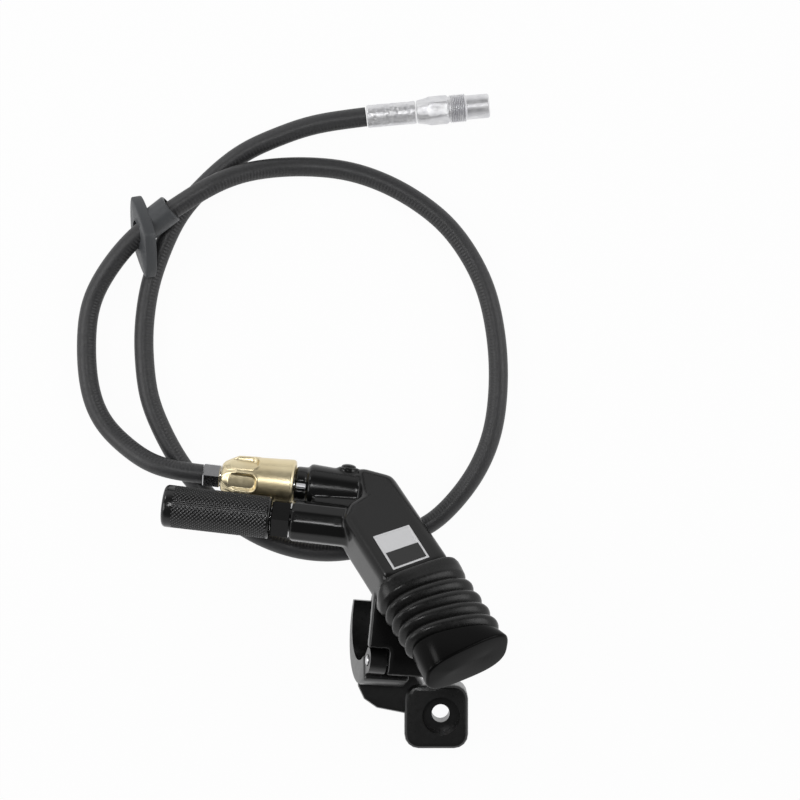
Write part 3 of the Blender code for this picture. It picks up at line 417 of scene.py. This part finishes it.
FINISHES = {}
NODE_FINISHES = {
    "lever_body": "paint", "bleed_screw": "neck", "gate_knob": "gold", "gate_stem": "steel",
    "stem_o_ring": "seal", "hose_nut": "steel", "hose_barb": "brass", "detent_plunger": "silver",
    "adjuster_neck": "neck", "adjuster_spindle": "steel", "master_piston": "silver",
    "piston_seal": "seal", "push_rod": "steel", "rod_guide": "neck", "return_spring": "steel",
    "clamp_strap": "clamp", "hinge_pin": "steel", "clamp_bolt": "neck", "hose_guide": "guide",
    "end_coupling": "silver", "button_cap": "cap", "adjuster_grip": "grip",
    "bellows_boot": "rubber", "hose": "hose", "end_sleeve": "silver",
}


class LEVER_OT_finishes(bpy.types.Operator):
    """Gives each solid of the lever its finish and smooth shading"""

    bl_idname = "lever.finishes"
    bl_label = "Finish the solids"

    def execute(self, context):
        FINISHES.update(make_finishes(context.scene.lever_finishes))
        for name, finish in NODE_FINISHES.items():
            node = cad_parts[name]
            node.data.materials.clear()
            node.data.materials.append(FINISHES[finish])
            node.data.shade_smooth()
            weld = node.modifiers.new("weld", "WELD")
            weld.merge_threshold = 0.00001
            split = node.modifiers.new("split", "EDGE_SPLIT")
            split.split_angle = math.radians(28)
            split.use_edge_sharp = False
            even = node.modifiers.new("even", "WEIGHTED_NORMAL")
            even.weight = 60
        self.cast(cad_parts["lever_body"])
        return {"FINISHED"}

    def cast(self, body):
        """Rounds the edges and corners of the body as a casting has them."""
        body.modifiers.clear()
        cast = body.modifiers.new("cast", "REMESH")
        cast.mode = "VOXEL"
        cast.voxel_size = 0.32 * MM
        cast.use_smooth_shade = True
        round_off = body.modifiers.new("round_off", "SMOOTH")
        round_off.factor = 0.5
        round_off.iterations = 14


class LEVER_OT_hose(bpy.types.Operator):
    """Lays the ribbed hose along its route"""

    bl_idname = "lever.hose"
    bl_label = "Lay the hose"

    def execute(self, context):
        sizes = context.scene.hose_sizes
        rib_steps, sides, plain_end = 4, 20, 8
        ribbed_from, ribbed_to = 20, 55
        points, length = smooth_points(HOSE_ROUTE, sizes.rib_pitch / rib_steps)
        rings = []
        for step, point in enumerate(points):
            ahead = points[min(step + 1, len(points) - 1)] - points[max(step - 1, 0)]
            ahead.normalize()
            side = ahead.cross(Vector((0, 0, 1))).normalized()
            up = side.cross(ahead)
            ribbed = plain_end < step < len(points) - plain_end
            notch = sizes.rib_depth if ribbed and step % rib_steps in (0, 1) else 0.0
            ring = []
            for turn in range(sides):
                angle = math.tau * turn / sides
                radius = sizes.diameter / 2
                if ribbed_from <= math.degrees(angle) <= ribbed_to:
                    radius -= notch
                ring.append(point + (side * math.cos(angle) + up * math.sin(angle)) * radius)
            rings.append(ring)
        mesh = mesh_from("hose_jacket", skin(rings), 50)
        hose = add_piece("hose_jacket", mesh, FINISHES["hose"], "lever")
        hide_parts("hose")
        pieces = [self.guide(), self.sleeve(), self.coupling()]
        return {"FINISHED"}

    def guide(self):
        """The frame guide: a leaning diamond flange with a sleeve round the hose."""
        turn = Euler((0, math.radians(-6), math.radians(36.9))).to_matrix()
        lean = turn @ Euler((0, math.radians(27), math.radians(-27))).to_matrix()
        centre = GUIDE_AT + Vector((0.8, -1.3, 0)) * MM
        hole = lean.inverted() @ (GUIDE_AT - centre)
        steps, half, round_off = 72, 1.5, 0.5
        reach_along, reach_across, power, hole_radius = 10.5, 6.6, 1.3, 3.1
        bore, outer, start, end, chamfer = 2.9, 3.75, 1.0, 10.0, 0.3
        rings = []
        for x, inset in ((-half, round_off), (-half + 0.15, 0.15), (-half + round_off, 0),
                         (half - round_off, 0), (half - 0.15, 0.15), (half, round_off)):
            ring = []
            for step in range(steps):
                angle = math.tau * step / steps
                side, up = math.cos(angle), math.sin(angle)
                reach = (abs(side / reach_along) ** power
                         + abs(up / reach_across) ** power) ** (-1 / power) - inset
                ring.append(centre + lean @ Vector((x, side * reach, up * reach)) * MM)
            rings.append(ring)
        for x in (half, -half):
            rings.append([
                centre + lean @ (Vector((x, hole_radius * math.cos(math.tau * step / steps),
                                         hole_radius * math.sin(math.tau * step / steps))) * MM
                                 + Vector((0, hole.y, hole.z)))
                for step in range(steps)
            ])
        shape = skin(rings, "wall")
        sleeve = lathe([(x * MM, radius * MM) for x, radius in (
            (start, bore), (start, outer), (end - chamfer, outer), (end, outer - chamfer),
            (end, bore))], 48, GUIDE_AT, turn)
        part = skin(sleeve, "wall")
        made = bpy.data.meshes.new("guide_sleeve")
        part.to_mesh(made)
        part.free()
        shape.from_mesh(made)
        bpy.data.meshes.remove(made)
        mesh = mesh_from("frame_guide", shape, 40)
        guide = add_piece("frame_guide", mesh, FINISHES["guide"], "lever")
        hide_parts("hose_guide")
        return guide

    def coupling(self):
        """The threaded coupling: a cone, a hexagon, a fine thread and a plain tip."""
        turns, turn_steps, thread, thread_radius, thread_depth = 9, 6, 4.7, 3.66, 0.36
        hex_end, relief, relief_radius, hex_corner, flat = 8.2, 0.3, 3.2, 3.6, 3.25
        tip, tip_length, tip_radius, bore, core = hex_end + thread, 5.8, 3.1, 1.0, 0.4
        places = [(0.0, core, 0), (0.0, 2.75, 0), (0.2, 2.95, 0), (2.6, 3.35, 1),
                  (3.4, hex_corner, 1), (hex_end - 0.5, hex_corner, 1), (hex_end - 0.2, 3.4, 1),
                  (hex_end, relief_radius, 0), (hex_end + relief, relief_radius, 0)]
        for step in range(turns * turn_steps + 1):
            wave = abs(step / turn_steps % 1 - 0.5) * 2
            share = step / (turns * turn_steps)
            places.append((hex_end + relief + (thread - 2 * relief) * share,
                           thread_radius - thread_depth * wave, 0))
        places += [(tip, tip_radius, 0), (tip + tip_length - 0.3, tip_radius, 0),
                   (tip + tip_length, tip_radius - 0.3, 0), (tip + tip_length, bore, 0),
                   (tip - 3.0, bore, 0), (tip - 3.0, core, 0)]
        steps = 96
        rings = []
        for x, radius, hexagon in places:
            ring = []
            for step in range(steps):
                angle = math.tau * step / steps
                off = (angle - math.radians(5)) % (math.tau / 6) - math.tau / 12
                reach = min(radius + 0.1, flat / math.cos(off)) if hexagon else radius
                ring.append(FITTING_AT + FITTING_TURN @ (
                    Vector((x, reach * math.cos(angle), reach * math.sin(angle))) * MM
                    + Vector((COUPLING_START, 0, 0))))
            rings.append(ring)
        mesh = mesh_from("threaded_coupling", skin(rings), 30)
        coupling = add_piece("threaded_coupling", mesh, FINISHES["silver"], "lever")
        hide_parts("end_coupling")
        return coupling

    def sleeve(self):
        """The crimped sleeve, with the fine wrinkles of its foil."""
        steps, rows = 72, 60
        radius_full, crease_depth, end_drop = 2.93 * MM, 0.16 * MM, 0.2 * MM
        rings = []
        for row in range(rows + 1):
            share = row / rows
            ring = []
            for step in range(steps):
                angle = math.tau * step / steps
                around = Vector((math.cos(angle), math.sin(angle)))
                crease = noise.noise(Vector((around.x * 2.6, around.y * 2.6, share * 13)))
                crease += 0.6 * noise.noise(Vector((around.x * 6, around.y * 6, share * 26)))
                radius = radius_full - crease_depth * abs(crease)
                if row in (0, rows):
                    radius -= end_drop
                ring.append(FITTING_AT + FITTING_TURN @ Vector((
                    share * SLEEVE_LENGTH, radius * math.cos(angle), radius * math.sin(angle))))
            rings.append(ring)
        mesh = mesh_from("crimped_sleeve", skin(rings), 60)
        sleeve = add_piece("crimped_sleeve", mesh, FINISHES["silver"], "lever")
        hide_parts("end_sleeve")
        return sleeve


class LEVER_OT_screw(bpy.types.Operator):
    """Turns the low dome of the bleed screw"""

    bl_idname = "lever.screw"
    bl_label = "Turn the bleed screw"

    def execute(self, context):
        shank, flange, tip = 1.1, 2.3, 0.02
        dome_start, dome_height, dome_radius = 6.15, 0.75, 1.9
        profile = [(3.6, tip), (3.6, shank), (4.6, shank), (4.6, flange), (5.8, flange),
                   (dome_start, dome_radius)]
        for part in range(1, 9):
            angle = math.radians(90 * part / 8)
            profile.append((dome_start + dome_height * math.sin(angle),
                            max(dome_radius * math.cos(angle), tip)))
        turn = BLEED_AXIS.to_track_quat("X", "Z").to_matrix()
        rings = lathe([(x * MM, radius * MM) for x, radius in profile], 32, BLEED_AT, turn)
        mesh = mesh_from("bleed_dome", skin(rings), 40)
        dome = add_piece("bleed_dome", mesh, FINISHES["neck"], "lever")
        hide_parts("bleed_screw")
        return {"FINISHED"}


class LEVER_OT_knob(bpy.types.Operator):
    """Forms the gold knob with its rimmed finger pockets"""

    bl_idname = "lever.knob"
    bl_label = "Form the knob"

    def execute(self, context):
        left, right, bore, step_depth = -34.8, -16.2, 2.0, 2
        steps, rows = 252, 96
        shell = [(left, 3.4), (left + 0.4, 3.9), (left + 3.9, 5.7), (right - 0.5, 6.4),
                 (right, 6.0)]
        rings = [self.ring(left, lambda angle: bore, steps)]
        for row in range(rows + 1):
            x = left + (right - left) * row / rows
            for before, after in zip(shell, shell[1:]):
                if before[0] <= x <= after[0]:
                    share = (x - before[0]) / (after[0] - before[0])
                    full = before[1] + (after[1] - before[1]) * share
                    break
            rings.append(self.ring(
                x, lambda angle, x=x, full=full: self.surface(x - left, angle, full), steps))
        rings.append(self.ring(right, lambda angle: 5.1, steps))
        rings.append(self.ring(right - step_depth, lambda angle: 4.8, steps))
        rings.append(self.ring(right - step_depth, lambda angle: bore, steps))
        mesh = mesh_from("knob_shell", skin(rings, "wall"), 50)
        knob = add_piece("knob_shell", mesh, FINISHES["gold"], "gate")
        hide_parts("gate_knob")
        return {"FINISHED"}

    def ring(self, x, radius_at, steps):
        """A ring about the port axis, with its radius given by the angle."""
        made = []
        for step in range(steps):
            angle = math.tau * step / steps
            radius = radius_at(angle)
            made.append(LEVER_AT + LEVER_TURN @ Vector((
                x, radius * math.cos(angle), radius * math.sin(angle))) * MM)
        return made

    def surface(self, x, angle, radius):
        """Radius of the knob's skin: six arched pockets, each with a raised rim."""
        sixth, first, mean_radius = math.tau / 6, math.radians(22), 5.9
        middle, half_length, half_width, corner = 4.9, 4.5, 2.4, 1.9
        wall, floor_radius, hollow = 0.55, 4.75, 0.05
        rim_height, rim_out, rim_width, rim_start = 0.14, 0.12, 0.22, 0.3
        turn = (angle - first + sixth / 2) % sixth - sixth / 2
        side = abs(turn * mean_radius)
        over = Vector((max(abs(x - middle) - half_length + corner, 0),
                       max(side - half_width + corner, 0)))
        edge = over.length - corner
        sunk = min(max(-edge / wall, 0), 1)
        sunk = sunk * sunk * (3 - 2 * sunk)
        floor = floor_radius + hollow * side ** 2
        rim = 0.0
        if x > rim_start:
            rim = rim_height * math.exp(-((edge - rim_out) / rim_width) ** 2)
        return radius + (min(radius, floor) - radius) * sunk + rim


class LEVER_OT_grip(bpy.types.Operator):
    """Cuts the diamond knurl on the adjuster's grip, with a painted highlight on its tips"""

    bl_idname = "lever.grip"
    bl_label = "Knurl the grip"

    def execute(self, context):
        sizes = context.scene.grip_sizes
        cells = 4
        steps = round(math.tau * sizes.radius / sizes.pitch) * cells
        left = GRIP_RIGHT - sizes.length
        bore, core = 2.1 * MM, 0.4 * MM
        band, edge, chamfer, gap = 2.6 * MM, 1.1 * MM, 0.3 * MM, 0.05 * MM
        rings = []

        def ring(x, radius, row=None):
            made = []
            for step in range(steps):
                angle = math.tau * step / steps
                cut = 0.0
                if row is not None:
                    first = abs((step + row) / cells % 1 - 0.5) * 2
                    second = abs((step - row) / cells % 1 - 0.5) * 2
                    cut = sizes.depth * max(first, second) ** 3
                made.append(ADJUSTER_AT + LEVER_TURN @ Vector((
                    x, (radius - cut) * math.cos(angle), (radius - cut) * math.sin(angle))))
            return made

        rings.append(ring(left, core))
        rings.append(ring(left, sizes.radius - edge))
        for part in range(1, 7):
            angle = math.radians(90 * part / 6)
            rings.append(ring(left + edge * (1 - math.cos(angle)),
                              sizes.radius - edge * (1 - math.sin(angle))))
        rings.append(ring(left + band, sizes.radius))
        start = left + band + gap
        end = GRIP_RIGHT - 0.7 * MM
        count = round((end - start) / sizes.pitch * cells)
        first_row = len(rings)
        for row in range(count + 1):
            rings.append(ring(start + (end - start) * row / count, sizes.radius, row))
        rings.append(ring(end + gap, sizes.radius))
        rings.append(ring(GRIP_RIGHT - chamfer, sizes.radius))
        rings.append(ring(GRIP_RIGHT, sizes.radius - chamfer))
        rings.append(ring(GRIP_RIGHT, bore))
        rings.append(ring(GRIP_RIGHT - 0.6 * sizes.length, bore))
        mesh = mesh_from("knurled_grip", skin(rings), 50)
        grip = add_piece("knurled_grip", mesh, FINISHES["grip"], "adjuster")
        # Faces at the knurl's tips take the lighter finish: a painted highlight
        mesh.materials.append(FINISHES["grip_tip_highlight"])
        for face in range(first_row * steps, (first_row + count) * steps):
            row, step = divmod(face - first_row * steps, steps)
            if step % 2 and (step + row) % cells == 1:
                mesh.polygons[face].material_index = 1
        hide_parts("adjuster_grip")
        return {"FINISHED"}


class LEVER_OT_boot(bpy.types.Operator):
    """Moulds the rubber bellows between the arm and the button"""

    bl_idname = "lever.boot"
    bl_label = "Mould the boot"

    def execute(self, context):
        sizes = context.scene.boot_sizes
        pitch = BOOT_LENGTH / sizes.ridges
        wall = 1.1 * MM
        rows = 14
        outside = []
        for row in range(sizes.ridges * rows + 1):
            share = row / rows % 1
            bulge = math.sin(math.pi * share) ** 0.85 if share else 0.0
            outside.append((BOOT_START + pitch * row / rows, 1 - bulge))
        lap = ((-1.1, -2.2, -0.2, 0.55), (-0.7, -1.2, 0.5, 0.58), (0.0, -0.4, 0.6, 0.64),
               (1.0, 0.0, 0.3, 0.74))
        rings = [
            oval_ring(ARM_END + x * MM, sizes.width + wider * MM, sizes.thick + thicker * MM,
                      0, round_power)
            for x, wider, thicker, round_power in lap
        ]
        for x, depth in outside[rows // 2:]:
            inset = 2 * sizes.valley * depth
            lean = BOOT_SLANT * (x - BOOT_START) / BOOT_LENGTH
            rings.append(oval_ring(x, sizes.width - inset, sizes.thick - inset, lean))
        inner = 2 * (sizes.valley + wall)
        for x, depth in reversed(outside[::rows]):
            lean = BOOT_SLANT * (x - BOOT_START) / BOOT_LENGTH
            rings.append(oval_ring(x, sizes.width - inner, sizes.thick - inner, lean))
        mesh = mesh_from("boot_bellows", skin(rings, "wall"), 60)
        boot = add_piece("boot_bellows", mesh, FINISHES["rubber"], None)
        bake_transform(boot)
        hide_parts("bellows_boot")
        return {"FINISHED"}


class LEVER_OT_spring(bpy.types.Operator):
    """Winds the return spring"""

    bl_idname = "lever.spring"
    bl_label = "Wind the spring"

    def execute(self, context):
        turns, wire, radius = SPRING_TURNS, SPRING_WIRE, SPRING_RADIUS
        rings = []
        for step in range(turns * 24 + 1):
            angle = math.tau * step / 24
            x = SPRING_START + (SPRING_END - SPRING_START) * step / (turns * 24)
            out = Vector((0, math.cos(angle), math.sin(angle)))
            rings.append([
                LEVER_AT + ARM_TURN @ (out * (radius + wire * math.cos(math.tau * side / 8))
                                       + Vector((x + wire * math.sin(math.tau * side / 8), 0, 0)))
                for side in range(8)
            ])
        mesh = mesh_from("wound_spring", skin(rings), 50)
        spring = add_piece("wound_spring", mesh, FINISHES["steel"], None)
        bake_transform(spring)
        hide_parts("return_spring")
        return {"FINISHED"}


class LEVER_OT_cap(bpy.types.Operator):
    """Shapes the push button's gloss cap"""

    bl_idname = "lever.cap"
    bl_label = "Shape the cap"

    def execute(self, context):
        sizes = context.scene.boot_sizes
        low_slant, high_slant = BOOT_SLANT, 0.4 * MM
        rim, edge, waist, crown = 0.5 * MM, 0.7 * MM, 0.35 * MM, 0.25 * MM
        rings = []

        def ring(x, inset, slant):
            power, dip = (0.82, 0.0) if slant < 0 else (0.66, 0.26)
            rings.append(oval_ring(x, sizes.cap_width - 2 * inset, sizes.cap_thick - 2 * inset,
                                   slant, power, dip))

        ring(CAP_START, 3.0 * MM, low_slant)
        ring(CAP_START, 0.9 * MM, low_slant)
        for part in range(0, 5):
            angle = math.radians(90 * part / 4)
            ring(CAP_START + rim * (1 - math.cos(angle)), rim * (1 - math.sin(angle)) + waist,
                 low_slant)
        ring(CAP_END - edge, 0.0, high_slant)
        for part in range(1, 7):
            angle = math.radians(90 * part / 6)
            ring(CAP_END - edge * (1 - math.sin(angle)), edge * (1 - math.cos(angle)), high_slant)
        for share in (0.25, 0.5, 0.75, 0.94):
            ring(CAP_END + crown * math.sin(math.radians(90 * share)),
                 edge + (sizes.cap_thick / 2 - edge) * share, high_slant)
        mesh = mesh_from("button_cap_shell", skin(rings), 50)
        cap = add_piece("button_cap_shell", mesh, FINISHES["cap"], "button")
        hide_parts("button_cap")
        return {"FINISHED"}


class LEVER_OT_plate(bpy.types.Operator):
    """Sets the plain plate on the front of the arm"""

    bl_idname = "lever.plate"
    bl_label = "Set the plain plate"

    def execute(self, context):
        low, high, proud = 6.5 * MM, 6.58 * MM, 0.02 * MM
        corners = [Vector(place) for place in (
            (20.4, 4.0), (31.8, 3.8), (31.9, -6.1), (20.3, -5.9))]
        centre = sum(corners, Vector((0, 0))) / 4
        rings = []
        for out, share in ((low, 1), (high, 1), (high, 0.92), (high - 0.05 * MM, 0.9)):
            rings.append([
                LEVER_AT + ARM_TURN @ Vector((*(centre.lerp(corner, share) * MM), out))
                for corner in corners
            ])
        mesh = mesh_from("plain_plate", skin(rings), 20)
        panel = []
        for out in (high - proud, high + proud):
            panel.append([
                LEVER_AT + ARM_TURN @ Vector((x * MM, y * MM, out))
                for x, y in ((26.4, 3.4), (31.2, 3.3), (31.3, -5.5), (26.4, -5.4))
            ])
        add_piece("plate_panel", mesh_from("plate_panel", skin(panel), 20), FINISHES["panel"],
                  "lever")
        add_piece("plain_plate", mesh, FINISHES["plate"], "lever")
        return {"FINISHED"}


class LEVER_OT_studio(bpy.types.Operator):
    """Sets up the table, the lamps and the camera"""

    bl_idname = "lever.studio"
    bl_label = "Set up the studio"

    def execute(self, context):
        sizes = context.scene.studio_sizes
        scene = context.scene
        scene.view_settings.view_transform = "Standard"
        self.world(scene)
        self.table()
        centre = Vector((17.17, 51.40, 0)) * MM
        lamps = (
            ("back_lamp", (-0.34, 0.42, 0.34), 0.14, 0.4),
            ("high_lamp", (-0.06, 0.1, 0.62), 0.12, 0.65),
            ("left_lamp", (-0.44, -0.02, 0.36), 0.3, 0.9),
            ("right_lamp", (0.44, 0.06, 0.36), 0.3, 0.8),
        )
        for name, at, size, power in lamps:
            lamp = bpy.data.lights.new(name, "AREA")
            lamp.size = size
            lamp.energy = power * sizes.lamp_power
            made = bpy.data.objects.new(name, lamp)
            made.location = centre + Vector(at)
            made.rotation_euler = (-Vector(at)).to_track_quat("-Z", "Y").to_euler()
            scene.collection.objects.link(made)
        camera = bpy.data.objects.new("camera", bpy.data.cameras.new("camera"))
        camera.location = centre + Vector((0, 0, sizes.camera_height))
        camera.data.angle = 2 * math.atan(sizes.view_width / 2 / sizes.camera_height)
        camera.data.clip_start = 0.01
        scene.collection.objects.link(camera)
        scene.camera = camera
        return {"FINISHED"}

    def world(self, scene):
        """A room that is bright round the sides and dark overhead."""
        world = bpy.data.worlds.new("studio")
        world.use_nodes = True
        scene.world = world
        nodes, links = world.node_tree.nodes, world.node_tree.links
        split = nodes.new("ShaderNodeSeparateXYZ")
        links.new(nodes.new("ShaderNodeTexCoord").outputs["Generated"], split.inputs["Vector"])
        dome = nodes.new("ShaderNodeMapRange")
        dome.inputs["From Min"].default_value = 0.3
        dome.inputs["From Max"].default_value = 0.62
        dome.inputs["To Min"].default_value = 0.9
        dome.inputs["To Max"].default_value = 0.14
        links.new(split.outputs["Z"], dome.inputs["Value"])
        links.new(dome.outputs["Result"], nodes["Background"].inputs["Strength"])
        nodes["Background"].inputs["Color"].default_value = (1, 1, 1, 1)

    def table(self):
        """A white table that keeps the lever's shadow."""
        mesh = bpy.data.meshes.new("table")
        reach, top = 2.5, -0.2 * MM
        mesh.from_pydata([(-reach, -reach, top), (reach, -reach, top), (reach, reach, top),
                          (-reach, reach, top)], [], [(0, 1, 2, 3)])
        table = bpy.data.objects.new("table", mesh)
        bpy.context.scene.collection.objects.link(table)
        white = bpy.data.materials.new("table_white")
        white.use_nodes = True
        nodes, links = white.node_tree.nodes, white.node_tree.links
        shader = nodes["Principled BSDF"]
        shader.inputs["Base Color"].default_value = (0.8, 0.8, 0.8, 1)
        shader.inputs["Roughness"].default_value = 0.9
        glow = nodes.new("ShaderNodeEmission")
        path = nodes.new("ShaderNodeLightPath")
        glow.inputs["Strength"].default_value = 1.0
        rays = path.outputs["Is Camera Ray"]
        for kind in ("Is Glossy Ray", "Is Transmission Ray"):
            seen = nodes.new("ShaderNodeMath")
            seen.operation = "MAXIMUM"
            links.new(rays, seen.inputs[0])
            links.new(path.outputs[kind], seen.inputs[1])
            rays = seen.outputs["Value"]
        share = nodes.new("ShaderNodeMath")
        share.operation = "MULTIPLY"
        share.inputs[1].default_value = 0.96
        mix = nodes.new("ShaderNodeMixShader")
        links.new(rays, share.inputs[0])
        links.new(share.outputs["Value"], mix.inputs["Fac"])
        links.new(shader.outputs["BSDF"], mix.inputs[1])
        links.new(glow.outputs["Emission"], mix.inputs[2])
        links.new(mix.outputs["Shader"], nodes["Material Output"].inputs["Surface"])
        mesh.materials.append(white)


class LEVER_PT_panel(bpy.types.Panel):
    """Lists the lever's pieces in the order in which they are made"""

    bl_idname = "LEVER_PT_panel"
    bl_label = "Fork lockout lever"
    bl_space_type = "VIEW_3D"
    bl_region_type = "UI"
    bl_category = "Lever"

    def draw(self, context):
        for step in STEPS:
            self.layout.operator(step.bl_idname)
        for name, group in GROUPS.items():
            values = getattr(context.scene, name)
            for field in group.__annotations__:
                self.layout.prop(values, field)


GROUPS = {
    "lever_finishes": LeverFinishes,
    "grip_sizes": GripSizes,
    "boot_sizes": BootSizes,
    "hose_sizes": HoseSizes,
    "studio_sizes": StudioSizes,
}
STEPS = (
    LEVER_OT_studio,
    LEVER_OT_finishes,
    LEVER_OT_hose,
    LEVER_OT_screw,
    LEVER_OT_knob,
    LEVER_OT_grip,
    LEVER_OT_boot,
    LEVER_OT_spring,
    LEVER_OT_cap,
    LEVER_OT_plate,
)


def register():
    for group in GROUPS.values():
        bpy.utils.register_class(group)
    for name, group in GROUPS.items():
        setattr(bpy.types.Scene, name, PointerProperty(type=group))
    for step in STEPS:
        bpy.utils.register_class(step)
    bpy.utils.register_class(LEVER_PT_panel)


def unregister():
    bpy.utils.unregister_class(LEVER_PT_panel)
    for step in reversed(STEPS):
        bpy.utils.unregister_class(step)
    for name in GROUPS:
        delattr(bpy.types.Scene, name)
    for group in reversed(GROUPS.values()):
        bpy.utils.unregister_class(group)


def clear_startup():
    """Takes away what Blender's own start file holds."""
    for name in ("Cube", "Light", "Camera"):
        made = bpy.data.objects.get(name)
        if made:
            bpy.data.objects.remove(made, do_unlink=True)


def main():
    clear_startup()
    register()
    for step in STEPS:
        group, name = step.bl_idname.split(".")
        getattr(getattr(bpy.ops, group), name)()


if __name__ == "__main__":
    main()
